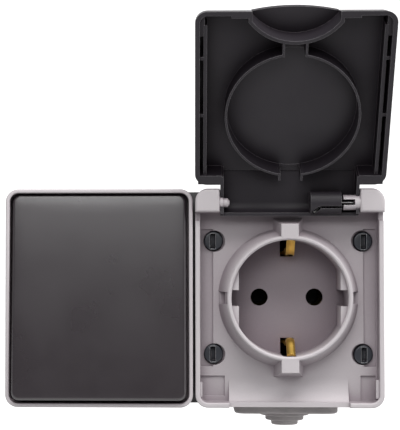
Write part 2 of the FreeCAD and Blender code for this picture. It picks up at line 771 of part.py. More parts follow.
def make_switch_base():
    back = S.switch_base_back
    wide = S.switch_base_across
    tall = S.switch_base_up
    body = slab("switch_base_core", left_x, 0, wide, tall, 2.0, back, S.frame_floor_back)
    ears = slab("switch_base_ears", left_x, 0, screw_across + 7, screw_up + 7, 3.0, switch_flange_back,
                S.frame_floor_back)
    cheeks = []
    for sign in (-1, 1):
        near = S.carrier_half_width + 0.4
        far = near + 2.0
        low, high = (near, far) if sign > 0 else (-far, -near)
        tag = "cheek_%d" % (sign + 1)
        cheeks.append(block(tag, left_x + low, left_x + high, S.frame_floor_back - 1, S.pivot_height + 2.6, -4, 4))
    solid = fuse("switch_base_solid", body, ears, *cheeks)
    tools = [
        slab("switch_cavity", left_x, 0, 15.0, 30.0, 1.5, 15.5, S.frame_floor_back + 1),
        slab("switch_well", left_x, 0, 2 * (S.carrier_half_width + 0.7), 2 * (S.carrier_half_height + 0.7), 1.5, 27.0,
             S.frame_floor_back + 1),
        rod_across("cheek_bore", left_x - 30, left_x + 30, S.pivot_height, 0, S.pivot_radius + S.pivot_play),
    ]
    for dx, dz in screw_offsets:
        tag = "switch_ear_%d_%d" % (int(dx.value), int(dz.value))
        tools.append(rod(tag, left_x + dx, dz, back, S.frame_floor_back + 1, S.screw_shank + 0.3))
    for tag, x, z in terminal_places():
        tools.append(block("cell_" + tag, left_x + x - 4.2, left_x + x + 4.2, 12, S.frame_floor_back + 1,
                           z - 4.0, z + 4.0))
        sign = 1 if z > 0 else -1
        low, high = (z, z + 12) if sign > 0 else (z - 12, z)
        tools.append(block("wire_" + tag, left_x + x - 1.8, left_x + x + 1.8, 14.2, 17.8, low, high))
        inner, outer = (10, z) if sign > 0 else (z, -10)
        tools.append(block("strip_" + tag, left_x + x - 2.6, left_x + x + 2.6, 15.5, 21, inner, outer))
    return finish(cut("switch_base", solid, *tools), "switch_base")


def terminal_places():
    """Name, x and z of the three switch terminals from the module centre."""
    return (("common", -6.0, 22.4), ("out_a", -9.0, -22.4), ("out_b", 9.0, -22.4))


def make_terminal(name, x, z):
    """A brass clamp block with wire hole and screw hole."""
    body = block(name + "_block", left_x + x - 4.0, left_x + x + 4.0, 12, 22, z - 3.8, z + 3.8)
    wire = rod_up(name + "_wire", left_x + x, 16, z - 5, z + 5, 1.7)
    thread = rod(name + "_thread", left_x + x, z, 15, 23, 1.5)
    return cut(name + "_clamp", body, wire, thread)


def make_switch_terminals():
    made = {}
    for tag, x, z in terminal_places():
        made[tag] = make_terminal(tag, x, z)
    low, high = 15.5, 16.7
    seat = block("common_seat", left_x - 7.2, left_x + 2.4, low, S.lever_height - 0.1, -0.5, 0.5)
    strip = block("common_strip", left_x - 7.2, left_x - 4.4, low, high, -0.5, 18.8)
    finish(fuse("terminal_common", made["common"], strip, seat), "terminal_common")
    contact_z = S.lever_half_length - 2.0
    top = S.lever_height - 1.45
    foot = block("foot_out_a", left_x - 11, left_x - 6.6, low, high, -18.8, -11.0)
    arm = block("arm_out_a", left_x - 7.0, left_x + 1.6, low, high, -13.6, -11.0)
    tongue = block("tongue_out_a", left_x - 1.6, left_x + 1.6, low, high, -13.6, -6.9)
    contact = rod("contact_out_a", left_x, -contact_z, low, top, 1.6)
    finish(fuse("terminal_out_a", made["out_a"], foot, arm, tongue, contact), "terminal_out_a")
    foot = block("foot_out_b", left_x + 4.8, left_x + 11, low, high, -13.6, -11.0)
    leg = block("leg_out_b", left_x + 6.6, left_x + 11, low, high, -18.8, -11.0)
    lead = block("lead_out_b", left_x + 4.8, left_x + 7.2, low, high, -13.6, 10.1)
    step = block("step_out_b", left_x - 1.6, left_x + 7.2, low, high, 6.9, 10.1)
    contact = rod("contact_out_b", left_x, contact_z, low, top, 1.6)
    finish(fuse("terminal_out_b", made["out_b"], foot, leg, lead, step, contact), "terminal_out_b")
    screws = []
    for tag, x, z in terminal_places():
        screws.append(make_small_screw("terminal_screw_" + tag, left_x + x, z, 22, 5.0))
    finish(compound("switch_terminal_screws", screws), "switch_terminal_screws")


def make_small_screw(name, x, z, seat, length):
    """A short slotted clamp screw."""
    body = turned(name, x, z, [
        (0, seat - length),
        (1.5, seat - length),
        (1.5, seat),
        (2.6, seat),
        (2.6, seat + 1.6),
        (0, seat + 1.6),
    ])
    sketch = new_sketch(body, "XZ_Plane", x, z, as_size(seat) + 1.6)
    add_polygon(sketch, [(-0.4, -3), (0.4, -3), (0.4, 3), (-0.4, 3)])
    pocket(body, sketch, 0.9)
    return body


# Socket module
def cover_block(name, x0, x1, h0, h1, z0, z1):
    """A block whose x values count from the socket centre."""
    return block(name, right_x + x0, right_x + x1, h0, h1, z0, z1)


def make_side_walls():
    """Floor and walls of the cover, open between the lugs and at the finger cut-away."""
    body = new_body("cover_shell")
    sketch = new_sketch(body, "XZ_Plane", right_x, 0, skirt_back)
    add_rounded(sketch, S.module_width, S.module_height, S.module_corner)
    pad(body, sketch, S.front_height - skirt_back)
    sketch = new_sketch(body, "XZ_Plane", right_x, 0, S.front_height)
    add_rounded(sketch, S.module_width - 2 * S.cover_wall, S.module_height - 2 * S.cover_wall,
                S.module_corner - S.cover_wall)
    pocket(body, sketch, S.front_height - S.cover_floor_front)
    sketch = new_sketch(body, "XZ_Plane", right_x, 0, S.cover_floor_front - S.cover_floor_thick)
    add_rounded(sketch, S.module_width - 3.6, S.module_height - 3.6, 2.5)
    pocket(body, sketch, S.cover_floor_front - S.cover_floor_thick - skirt_back)
    fillet(body, 0.4, at_height(S.front_height.value))
    lug_low = half_high - S.lug_high
    inside = half_wide - S.cover_wall
    step_front = S.front_height - 1.5
    tools = [
        cover_block("neck_gap", -S.lug_inner, S.lug_inner, S.neck_edge, 50, half_high - 3.7, half_high + 3.3),
        cover_block("scoop_gap", -S.scoop_half, S.scoop_half, S.scoop_edge, 50, -half_high - 3.3, -half_high + 3.7),
        cover_block("left_step", -half_wide - 8, -inside + 0.2, step_front, step_front + 8, lug_low - 2.8, lug_low + 0.2),
        cover_block("right_step", inside - 0.2, half_wide + 8, step_front, step_front + 8, lug_low - 2.8, lug_low + 0.2),
    ]
    return cut("cover_walls", body, *tools)


def make_scoop_ramp():
    rise = S.scoop_edge - S.cover_floor_front
    radius = (S.scoop_run * S.scoop_run + rise * rise) / (2 * rise)
    start = -half_high + S.scoop_run
    solid = cover_block("ramp_block", -S.scoop_half, S.scoop_half, S.cover_floor_front - 1, S.scoop_edge,
                        -half_high, start)
    curve = rod_across("ramp_curve", right_x - 30, right_x + 30, S.cover_floor_front + radius, start, radius)
    return cut("finger_ramp", solid, curve)


def make_lugs():
    root = S.cover_floor_front - 3.5
    outline = slab("lug_outline", right_x, 0, S.module_width, S.module_height, S.module_corner, root, S.lug_front)
    low = half_high - S.lug_high
    left = cover_block("lug_left", -half_wide, -S.lug_inner, root, S.lug_front, low, half_high)
    right = cover_block("lug_right", S.lug_inner, half_wide, root, S.lug_front, low, half_high)
    lugs = common("hinge_lugs", outline, fuse("lug_pair", left, right))
    front = S.lug_front.value

    def front_edge(edge):
        return abs(edge.BoundBox.YMin + front) < 0.01 and abs(edge.BoundBox.YMax + front) < 0.01
    return soften("hinge_lugs_rounded", lugs, 0.9, front_edge)


def make_collar():
    shoulder = S.shoulder_height
    floor = S.cover_floor_front
    pot_floor = S.rim_height - S.recess_depth
    back = pot_floor - S.recess_floor
    clear = S.rim_height + 13.5
    outer = S.rim_radius
    body = turned("collar_core", right_x, 0, [
        (0, back),
        (outer + 0.5, back),
        (outer + 0.5, floor - 1.5),
        (S.collar_base, floor - 1.5),
        (S.collar_base, floor),
        (S.collar_base - 0.25, floor + 2.2),
        (outer + 1.35, shoulder - 0.4),
        (outer + 0.9, shoulder),
        (outer, shoulder),
        (outer, S.rim_height - 0.4),
        (outer - 0.4, S.rim_height),
        (S.recess_radius + 0.5, S.rim_height),
        (S.recess_radius, S.rim_height - 0.5),
        (S.recess_radius, pot_floor),
        (0, pot_floor),
    ])
    ribs = []
    for sign in (-1, 1):
        tag = "rib_%d" % (sign + 1)
        inner, outer_x = (S.flat_half, S.recess_radius + 0.6)
        low, high = (inner, outer_x) if sign > 0 else (-outer_x, -inner)
        whole = cover_block(tag, low, high, pot_floor - 0.5, S.rim_height - 2.2, -S.flat_reach, S.flat_reach)
        groove = cover_block(tag + "_groove", low - 1, high + 1, pot_floor, clear, -S.flat_groove / 2,
                             S.flat_groove / 2)
        ring_space = rod(tag + "_limit", right_x, 0, pot_floor - 1, clear, S.rim_radius - 0.3)
        ribs.append(common(tag + "_clipped", cut(tag + "_pair", whole, groove), ring_space))
    keys = []
    for sign in (-1, 1):
        key = new_body("collar_key_%d" % (sign + 1))
        middle = sign * (S.pad_reach + 20) / 2
        sketch = new_sketch(key, "XZ_Plane", right_x, middle, floor - 0.5)
        reach = (S.pad_reach - 20) / 2
        add_polygon(sketch, [(-S.pad_half, -reach), (S.pad_half, -reach), (S.pad_half, reach),
                             (-S.pad_half, reach)])
        pad(key, sketch, shoulder - floor + 0.5, -14)
        keys.append(key)
    recess = rod("recess_clear", right_x, 0, pot_floor, clear, S.recess_radius)
    keys_clear = cut("collar_keys", fuse("collar_key_pair", *keys), recess)
    solid = fuse("collar_solid", body, keys_clear, *ribs)
    tools = []
    half_slot = S.earth_slot_width / 2
    for sign in (-1, 1):
        reach = S.recess_radius + 0.85
        low, high = (S.earth_slot_inner, reach) if sign > 0 else (-reach, -S.earth_slot_inner)
        tools.append(cover_block("earth_slot_%d" % (sign + 1), -half_slot, half_slot, back - 1,
                                 S.rim_height - 2.0, low, high))
        tools.append(rod("pin_hole_%d" % (sign + 1), right_x + sign * S.pin_spacing / 2, 0, back - 1,
                         pot_floor + 1, S.pin_hole))
        near, far = S.collar_base - 1.9, S.collar_base + 0.6
        left, right = (near, far) if sign > 0 else (-far, -near)
        tools.append(cover_block("side_notch_%d" % (sign + 1), left, right, floor + 0.6, shoulder + 1, -2.05, 2.05))
    return cut("collar", solid, *tools)


def make_socket_cover():
    floor = S.cover_floor_front
    inside = half_wide - S.cover_wall
    solids = [make_side_walls(), make_scoop_ramp(), make_lugs()]
    tools = [rod("pot_opening", right_x, 0, 25, 60, S.rim_radius + 0.4)]
    seat = floor - 1.6
    for number, (dx, dz) in enumerate(screw_offsets):
        solids.append(rod("cover_boss_%d" % number, right_x + dx, dz, S.ear_back + S.ear_thick, floor, 3.9))
        tools.append(rod("counterbore_%d" % number, right_x + dx, dz, seat, 50, S.screw_head + 0.65))
        tools.append(rod("shank_hole_%d" % number, right_x + dx, dz, 20, 50, S.screw_shank + 0.3))
    for sign in (-1, 1):
        tag = "channel_%d" % (sign + 1)
        near, far = inside - 4.45, inside - 0.3
        low, high = (near, far) if sign > 0 else (-far, -near)
        tools.append(cover_block(tag, low, high, floor - 0.9, 50, -screw_up / 2 - 4.2, screw_up / 2 + 4.1))
    foot = -half_high
    catch_front = S.front_height - 1.1
    tools.append(cover_block("corner_pad_left", -inside - 0.25, -inside + 8.35, floor - 0.6, floor + 3,
                             foot + 3.4, foot + 10.2))
    tools.append(cover_block("corner_pad_right", inside - 5.55, inside - 0.55, floor - 0.6, floor + 3,
                             foot + 1.7, foot + 10.3))
    solids.append(cover_block("catch_left", -inside - 0.2, -inside + 0.7, floor - 0.2, catch_front,
                              foot + 3.5, foot + 8.5))
    solids.append(cover_block("catch_right", inside - 1.1, inside + 0.2, floor - 0.2, catch_front,
                              foot + 3.1, foot + 9.3))
    shell = cut("cover_cut", fuse("cover_solid", *solids), *tools)
    whole = fuse("socket_cover", shell, make_collar(), turned_stub(), make_slotted_stub())
    return finish(whole, "socket_cover")


def turned_stub():
    """The hinge stub moulded on the left lug."""
    body = new_body("hinge_stub")
    sketch = new_sketch(body, "XZ_Plane", right_x - S.lug_inner, axis_up, S.axis_height)
    add_polygon(sketch, [
        (-1.0, 0),
        (-1.0, S.stub_collar),
        (1.15, S.stub_collar),
        (1.15, S.stub_radius),
        (2.6, S.stub_radius),
        (3.3, S.stub_radius - 0.8),
        (3.3, 0),
    ])
    spin(body, sketch, "H_Axis")
    return body


def make_slotted_stub():
    """The hinge stub on the right lug, slotted for the straight end of the lid spring."""
    end = right_x + S.spring_stub_end
    body = rod_across("slotted_stub_rod", end, right_x + S.lug_inner + 1, S.axis_height, axis_up, S.spring_stub)
    half_slot = S.spring_slot / 2
    slot = block("stub_slot", end - 1, end + 3.8, S.axis_height - 4, S.axis_height + 4, axis_up - half_slot,
                 axis_up + half_slot)
    return cut("slotted_stub", body, slot)


def make_socket_inside():
    pot_back = S.rim_height - S.recess_depth - S.recess_floor
    ear_front = S.ear_back + S.ear_thick
    core = slab("socket_base_core", right_x, 0, 40.0, 44.0, 4.0, 10.0, pot_back)
    ears = slab("socket_base_ears", right_x, 0, screw_across + 6.6, screw_up + 6.6, 3.0, S.ear_back, ear_front)
    tools = []
    for number, (dx, dz) in enumerate(screw_offsets):
        tools.append(rod("socket_ear_%d" % number, right_x + dx, dz, 5, 30, S.screw_shank + 0.3))
    for sign in (-1, 1):
        x = sign * S.pin_spacing / 2
        tag = "sleeve_%d" % (sign + 1)
        tools.append(rod(tag + "_well", right_x + x, 0, 12.0, 40, 4.3))
        tools.append(cover_block(tag + "_run", x - 2.6, x + 2.6, 12.0, 40, 0, 16.0))
        tools.append(cover_block(tag + "_cell", x - 4.2, x + 4.2, 12.0, 40, 12.0, 20.2))
        tools.append(cover_block(tag + "_wire", x - 1.9, x + 1.9, 14.0, 18.0, 18.0, 23.0))
        low, high = (13.8, 20.4) if sign > 0 else (-20.4, -13.8)
        tools.append(cover_block("bow_slot_%d" % (sign + 1), -2.4, 2.4, 8.0, 40, low, high))
    tools.append(cover_block("bow_run", -2.4, 2.4, 8.0, 12.0, -20.4, 20.4))
    tools.append(cover_block("earth_cell", -13.2, -4.8, 12.0, 40, -20.2, -12.0))
    tools.append(cover_block("earth_link", -5.0, 0, 12.0, 14.4, -18.6, -13.8))
    tools.append(cover_block("earth_wire", -10.9, -7.1, 14.0, 18.0, -23.0, -18.0))
    finish(cut("socket_base", fuse("socket_base_solid", core, ears), *tools), "socket_base")
    for sign, name in ((-1, "contact_sleeve_left"), (1, "contact_sleeve_right")):
        finish(make_sleeve(name, sign * S.pin_spacing / 2), name)
    make_earth_bow()
    places = ((-S.pin_spacing / 2, 16.2), (S.pin_spacing / 2, 16.2), (as_size(-9.0), -16.2))
    screws = []
    for number, (x, z) in enumerate(places):
        screws.append(make_small_screw("socket_clamp_%d" % number, right_x + x, z, 19.9, 5.0))
    finish(compound("socket_terminal_screws", screws), "socket_terminal_screws")


def make_sleeve(name, x):
    """A slotted brass sleeve with its clamp block."""
    tube = rod(name + "_tube", right_x + x, 0, 12.0, 21.6, 3.6)
    bore = fuse(name + "_mouth", rod(name + "_bore", right_x + x, 0, 11.0, 30, 2.45),
                turned(name + "_flare", right_x + x, 0, [(0, 20.0), (2.45, 20.0), (3.35, 21.6), (3.35, 23.0), (0, 23.0)]))
    slot = cover_block(name + "_slot", x - 5, x + 5, 15.0, 30, -0.4, 0.4)
    strip = cover_block(name + "_strip", x - 2.2, x + 2.2, 12.0, 13.2, 0, 15.0)
    clamp = cover_block(name + "_block", x - 3.9, x + 3.9, 12.0, 19.9, 12.3, 19.9)
    wire = rod_up(name + "_wirehole", right_x + x, 16.0, 11, 21, 1.7)
    thread = rod(name + "_thread", right_x + x, 16.2, 14.9, 22, 1.5)
    return cut(name + "_whole", fuse(name + "_solid", tube, strip, clamp), bore, slot, wire, thread)


def make_earth_bow():
    """One brass strip across the back with a contact tongue at each end."""
    broad = (-2.1, 2.0)
    narrow = (-0.5, 2.0)
    parts = [cover_block("bow_base", broad[0], broad[1], 10.4, 11.6, -15.5, 15.5)]
    for sign in (-1, 1):
        tag = "tongue_%d" % (sign + 1)
        low, high = (14.4, 15.5) if sign > 0 else (-15.5, -14.4)
        parts.append(cover_block(tag + "_foot", broad[0], broad[1], 10.4, 26.4, low, high))
        parts.append(profile_across(tag, right_x + narrow[0], right_x + narrow[1], [
            (25.4, sign * 14.4),
            (27.8, sign * 14.4),
            (29.3, sign * 15.9),
            (38.4, sign * 16.2),
            (42.3, sign * 19.2),
            (41.5, sign * 19.7),
            (37.9, sign * 17.2),
            (28.9, sign * 17.1),
            (27.3, sign * 15.5),
            (25.4, sign * 15.5),
        ]))
    clamp = cover_block("bow_clamp", -12.9, -5.1, 12.0, 19.9, -19.9, -12.3)
    link = cover_block("bow_link", -5.4, 0.5, 12.0, 13.2, -18.2, -14.2)
    foot = cover_block("bow_foot", broad[0], 0.5, 11.0, 13.2, -18.2, -14.2)
    solid = fuse("bow_solid", clamp, link, foot, *parts)
    wire = rod_up("bow_wire", right_x - 9.0, 16.0, -21, -11, 1.7)
    thread = rod("bow_thread", right_x - 9.0, -16.2, 14.9, 22, 1.5)
    return finish(cut("earth_bow", solid, wire, thread), "earth_bow")


# Hinge and lid, drawn closed round the hinge axis and then swung open
def lid_block(name, x0, x1, h0, h1, z0, z1):
    return block(name, x0, x1, h0, h1, z0, z1)


def neck_point(radius, degrees):
    """A point of the neck section; 0 degrees faces forward and 90 degrees faces up."""
    angle = math.radians(degrees)
    return (radius * math.cos(angle), radius * math.sin(angle))


def neck_outline(inset):
    """Outer line of the hinge neck section as (h, z) points, moved in by an inset."""
    radius = S.neck_radius - inset
    front = S.lid_front - inset
    points = [(front, -S.lid_near - 3.0), (front, -S.lid_near - 1.6)]
    for degrees in (12, 25, 38, 51, 64, 77, 90, 104, 118):
        points.append(neck_point(radius, degrees))
    return points


def make_neck():
    outer = neck_outline(as_size(0))
    inner = neck_outline(S.neck_skin)
    skin_points = outer + list(reversed(inner))
    half = S.neck_half
    skin = profile_across("neck_skin_body", -half, half, skin_points)
    closing = [neck_point(S.neck_radius - 0.2, 150), (S.lid_edge, -1.8), (S.lid_edge, -S.lid_near - 3.0)]
    cheek_points = neck_outline(as_size(0.15)) + closing
    parts = [skin]
    for sign in (-1, 1):
        tag = "neck_cheek_%d" % (sign + 1)
        low, high = (half - S.neck_cheek, half) if sign > 0 else (-half, -half + S.neck_cheek)
        cheek = profile_across(tag, low, high, cheek_points)
        radius = S.stub_collar if sign < 0 else S.spring_stub
        hole = rod_across(tag + "_hole", low - 1, high + 1, 0, 0, radius + S.hinge_play)
        parts.append(cut(tag + "_bored", cheek, hole))
    start, end = S.barrel_start, S.barrel_end
    barrel = rod_across("barrel", start, end, 0, 0, S.barrel_radius)
    inside = profile_across("neck_space", -half, half, neck_outline(as_size(0.3)) + closing)
    web = profile_across("barrel_web", start, end, [(2.0, -3.0), (6.0, -1.0), (4.0, 5.0), (-2.0, 3.0)])
    solid = fuse("barrel_solid", barrel, common("barrel_web_clear", web, inside))
    tools = [rod_across("barrel_bore", start + 0.9, end + 1, 0, 0, S.barrel_bore)]
    slit = block("barrel_slit", 9.9, end + 1, 0, 5, -2.05, -1.35)
    diagonal = block("barrel_diagonal", -1.6, 1.3, 0, 5, -0.5, 0.5)
    tilted = compound("barrel_diagonal_tilted", [diagonal])
    tilted.Placement = FreeCAD.Placement(V(8.9, 0, -2.65), FreeCAD.Rotation(V(0, 1, 0), -36.9))
    for tag, tool in (("slit", slit), ("diagonal", tilted)):
        swung = compound("barrel_%s_swung" % tag, [tool])
        swung.Placement = FreeCAD.Placement(V(0, 0, 0), FreeCAD.Rotation(V(1, 0, 0), 1.0))
        bind(swung, "Placement.Rotation.Angle", S.lid_angle)
        tools.append(swung)
    parts.append(cut("barrel_bored", solid, *tools))
    return fuse("lid_neck", *parts)


def make_lid_shell():
    """Skin and skirt with the corner radii of the free edge."""
    body = new_body("lid_shell")
    centre = -(lid_free + S.lid_near) / 2
    wide = 2 * lid_half
    tall = lid_free - S.lid_near
    sketch = new_sketch(body, "XZ_Plane", 0, centre, S.lid_edge)
    add_rounded(sketch, wide, tall, S.lid_corner)
    pad(body, sketch, S.lid_front - S.lid_edge)
    fillet(body, 2.2, at_height(S.lid_front.value))
    sketch = new_sketch(body, "XZ_Plane", 0, centre, S.lid_front - S.lid_skin)
    add_rounded(sketch, wide - 2 * S.lid_wall, tall - 2 * S.lid_wall, S.lid_corner - S.lid_wall)
    pocket(body, sketch, S.lid_front - S.lid_skin - S.lid_edge)
    return body


def make_lid():
    skin_back = S.lid_front - S.lid_skin
    edge = S.lid_edge
    root = skin_back + 0.4
    centre = -axis_up
    rib_x = lid_half - S.lid_wall - S.lid_rib_gap
    free = -lid_free
    near = -S.lid_near
    inner_width = lid_half - S.lid_wall
    parts = [make_lid_shell()]
    for sign in (-1, 1):
        tag = "lid_%d" % (sign + 1)
        low, high = (rib_x - 0.4, inner_width + 0.4) if sign > 0 else (-inner_width - 0.4, -rib_x + 0.4)
        parts.append(lid_block(tag + "_corner", low, high, edge + 1.4, root, free + 1.0, free + 8.8))
        low, high = (rib_x - S.lid_rib, rib_x) if sign > 0 else (-rib_x, -rib_x + S.lid_rib)
        parts.append(lid_block(tag + "_rib", low, high, edge + 1.2, root, free + 5.0, near - 3.2))
        for number, z in enumerate((free + 16.4, free + 36.4)):
            low, high = (rib_x - 0.5, inner_width + 0.5) if sign > 0 else (-inner_width - 0.5, -rib_x + 0.5)
            parts.append(lid_block("%s_bridge_%d" % (tag, number), low, high, edge + 1.2, root, z - 0.5, z + 0.5))
        low, high = (S.neck_half - 0.4, inner_width + 0.5) if sign > 0 else (-inner_width - 0.5, -S.neck_half + 0.4)
        parts.append(lid_block(tag + "_end", low, high, edge, root, near - 3.4, near - 0.2))
        low, high = (S.grip_half - 0.6, S.scoop_half) if sign > 0 else (-S.scoop_half, -S.grip_half + 0.6)
        parts.append(lid_block(tag + "_thick", low, high, edge, root, free + 0.9, free + 2.3))
    ring = cut("ring", rod("ring_outer", 0, centre, edge, root, S.ring_inner + S.ring_wall),
               rod("ring_bore", 0, centre, edge - 1, root + 1, S.ring_inner))
    notch = lid_block("ring_notches", -S.ring_notch, S.ring_notch, edge - 1, root - 0.5, centre - 30, centre + 30)
    parts.append(cut("ring_notched", ring, notch))
    pocket_wall = S.ring_wall
    far = S.ring_notch + pocket_wall
    for side in (-1, 1):
        low, high = (S.ring_notch, far) if side > 0 else (-far, -S.ring_notch)
        tag = "pocket_%d" % (side + 1)
        parts.append(lid_block(tag + "_near", low, high, edge, root, centre + S.ring_inner - 0.4,
                               centre + S.ring_pocket + pocket_wall))
        parts.append(lid_block(tag + "_far", low, high, edge, root, centre - S.ring_pocket - 0.4,
                               centre - S.ring_inner + 0.4))
    slope = S.lid_slant / (S.lid_front - edge)
    fill_end = S.lid_wall + slope * (root - edge)
    parts.append(profile_across("free_end_fill", -inner_width - 0.3, inner_width + 0.3, [
        (edge + 0.01, free + S.lid_wall - 0.6),
        (edge + 0.01, free + S.lid_wall),
        (root, free + fill_end),
        (root, free + S.lid_wall - 0.6),
    ]))
    parts.append(lid_block("pocket_end", -far, far, edge, root, centre + S.ring_pocket,
                           centre + S.ring_pocket + pocket_wall))
    body = fuse("lid_plain", *parts)
    grip_centre = free + S.grip_deep - S.grip_radius
    side_low = free + S.lid_wall
    grip_void = common("grip_void", rod("grip_disc", 0, grip_centre, edge - 1, skin_back, S.grip_radius),
                       lid_block("grip_band", -S.grip_half, S.grip_half, edge - 1, skin_back, free - 5, free + 20))
    near_gap = lid_block("neck_opening", -S.neck_half + 1.0, S.neck_half - 1.0, edge - 1, skin_back,
                         centre + S.ring_pocket + pocket_wall, 5)
    top_gap = lid_block("neck_top_opening", -S.neck_half, S.neck_half, edge - 1, 20, near - 1.6, 5)
    slant_cut = profile_across("free_end_slant", -40, 40, [
        (edge - 1, free - S.lid_slant),
        (edge - 1, free - slope),
        (S.lid_front + 1, free + S.lid_slant + slope),
        (S.lid_front + 1, free - S.lid_slant),
    ])
    opened = cut("lid_opened", body, grip_void, near_gap, top_gap, slant_cut)
    outer_band = lid_block("grip_wall_band", -S.grip_half - S.grip_wall, S.grip_half + S.grip_wall, edge, root,
                           side_low, free + 20)
    grip_solid = common("grip_solid", rod("grip_outer", 0, grip_centre, edge, root, S.grip_radius + S.grip_wall),
                        outer_band)
    grip_wall = cut("grip_wall_part", grip_solid, grip_void, slant_cut)
    lip_radius = (S.grip_half * S.grip_half + S.grip_lip * S.grip_lip) / (2 * S.grip_lip)
    lip_edge = free + slope * (skin_back - edge) - S.grip_lip + 0.15
    lip = rod("lip_disc", 0, lip_edge + lip_radius, skin_back, S.lid_front - 0.35, lip_radius)
    lip_box = lid_block("lip_zone", -S.grip_half, S.grip_half, skin_back, 20, free - 3, free + 6)
    whole = fuse("lid_whole", opened, grip_wall, common("lip_part", lip, lip_box), make_neck())
    turned_about_x(whole, -S.lid_angle)
    place(whole, right_x, S.axis_height, axis_up)
    return finish(whole, "lid")


def make_lid_spring():
    """Torsion spring inside the barrel: a leg through the slot, coils, and a straight end on the axis."""
    start = (right_x + S.barrel_start + 2.6).value
    radius = S.coil_radius.value
    height = S.axis_height.value
    up = axis_up.value
    points = [V(start - 1.4, -height - 1.9, up - 3.25), V(start - 0.35, -height - 1.35, up - 2.45)]
    turns = 6.1
    steps = int(turns * 14)
    for step in range(steps + 1):
        angle = -math.pi / 3 + 2 * math.pi * turns * step / steps
        x = start + S.coil_pitch.value * turns * step / steps
        points.append(V(x, -height - radius * math.cos(angle), up + radius * math.sin(angle)))
    end = points[-1]
    points.append(V(end.x + 0.5, -height - radius * 0.75, up - 0.6))
    points.append(V(end.x + 1.2, -height - 0.3, up - 0.1))
    points.append(V(end.x + 2.4, -height, up))
    points.append(V((right_x + S.spring_stub_end + 3.3).value, -height, up))
    return finish(wire_form("lid_spring", points, S.coil_wire.value), "lid_spring")


make_back_box()
make_grommet()
make_gasket("switch_gasket", left_x)
make_gasket("socket_gasket", right_x)
make_switch_frame()
switch_screws = []
for number, (dx, dz) in enumerate(screw_offsets):
    switch_screws.append(make_screw("switch_screw_%d" % number, left_x + dx, dz, S.frame_floor_front, 14.0))
finish(compound("switch_screws_all", switch_screws), "switch_screws")
make_rocker()
make_carrier()
make_plunger()
make_switch_spring()
make_lever()
make_switch_base()
make_switch_terminals()
make_socket_cover()
cover_screws = []
for number, (dx, dz) in enumerate(screw_offsets):
    cover_screws.append(make_screw("cover_screw_%d" % number, right_x + dx, dz, S.cover_floor_front - 1.6, 23.0))
finish(compound("cover_screws_all", cover_screws), "cover_screws")
make_socket_inside()
make_lid()
make_lid_spring()
doc.recompute()

for item in doc.Objects:
    if "Invalid" in item.State or "Error" in item.State:
        raise RuntimeError("%s did not build: %s" % (item.Name, item.State))
for item in nodes:
    shape = item.Shape
    if shape.isNull() or not shape.isValid():
        raise RuntimeError("%s has no valid shape" % item.Label)
    shape.exportStep("parts/%s.step" % item.Label)
    print(item.Label, len(shape.Solids), "solids", round(shape.Volume / 1000, 2), "cm3")
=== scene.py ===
import json
import math

import bmesh
import bpy
from mathutils import Matrix, Vector


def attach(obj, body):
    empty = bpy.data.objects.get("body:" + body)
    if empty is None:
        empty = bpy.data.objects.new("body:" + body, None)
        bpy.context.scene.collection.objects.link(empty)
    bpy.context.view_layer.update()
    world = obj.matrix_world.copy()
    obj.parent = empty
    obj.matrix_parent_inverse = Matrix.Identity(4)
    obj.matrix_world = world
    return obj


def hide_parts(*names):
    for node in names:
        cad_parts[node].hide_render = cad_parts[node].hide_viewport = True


bl_info = {
    "name": "Weatherproof switch and socket looks",
    "version": (1, 0, 0),
    "blender": (4, 5, 0),
    "location": "View3D > Sidebar > Combination",
    "description": "Builds the visible pieces, finishes and studio of a two-gang weatherproof combination",
    "category": "Object",
}

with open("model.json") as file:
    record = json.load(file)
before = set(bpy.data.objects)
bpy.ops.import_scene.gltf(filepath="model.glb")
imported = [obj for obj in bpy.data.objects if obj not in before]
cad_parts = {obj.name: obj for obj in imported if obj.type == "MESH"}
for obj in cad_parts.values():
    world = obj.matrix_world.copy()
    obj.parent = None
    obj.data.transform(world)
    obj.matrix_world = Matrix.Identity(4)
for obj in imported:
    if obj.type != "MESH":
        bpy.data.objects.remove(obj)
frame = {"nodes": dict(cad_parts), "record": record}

# Shared places; the pieces are drawn in millimetres with Y into the wall, and a height counts out of the wall
MM = 0.001
LEFT_X, RIGHT_X = -32.0, 32.0
TILT_HEIGHT, TILT_REST = 38.0, 2.5
HINGE_HEIGHT, HINGE_Z, LID_OPEN = 43.9, 32.05, 148.0
GROMMET_HEIGHT, BOX_BOTTOM = 15.0, -36.3
SHARP_ANGLE = math.radians(32.0)


# Sizes and colours
class CombinationSizes(bpy.types.PropertyGroup):
    """Sizes that the Blender pieces are built from."""
    rocker_crown: bpy.props.FloatProperty(
        name="Rocker crown", description="How far the middle of the rocker stands proud",
        default=0.25 * MM, unit="LENGTH")
    edge_soft: bpy.props.FloatProperty(
        name="Edge softness", description="Radius that the mouldings' edges catch light on",
        default=0.22 * MM, unit="LENGTH")
    grain: bpy.props.FloatProperty(
        name="Grain size", description="Size of the spark-eroded grain on the mouldings",
        default=0.35 * MM, unit="LENGTH")
    grain_height: bpy.props.FloatProperty(
        name="Grain height", description="Height of the grain",
        default=0.012 * MM, unit="LENGTH")


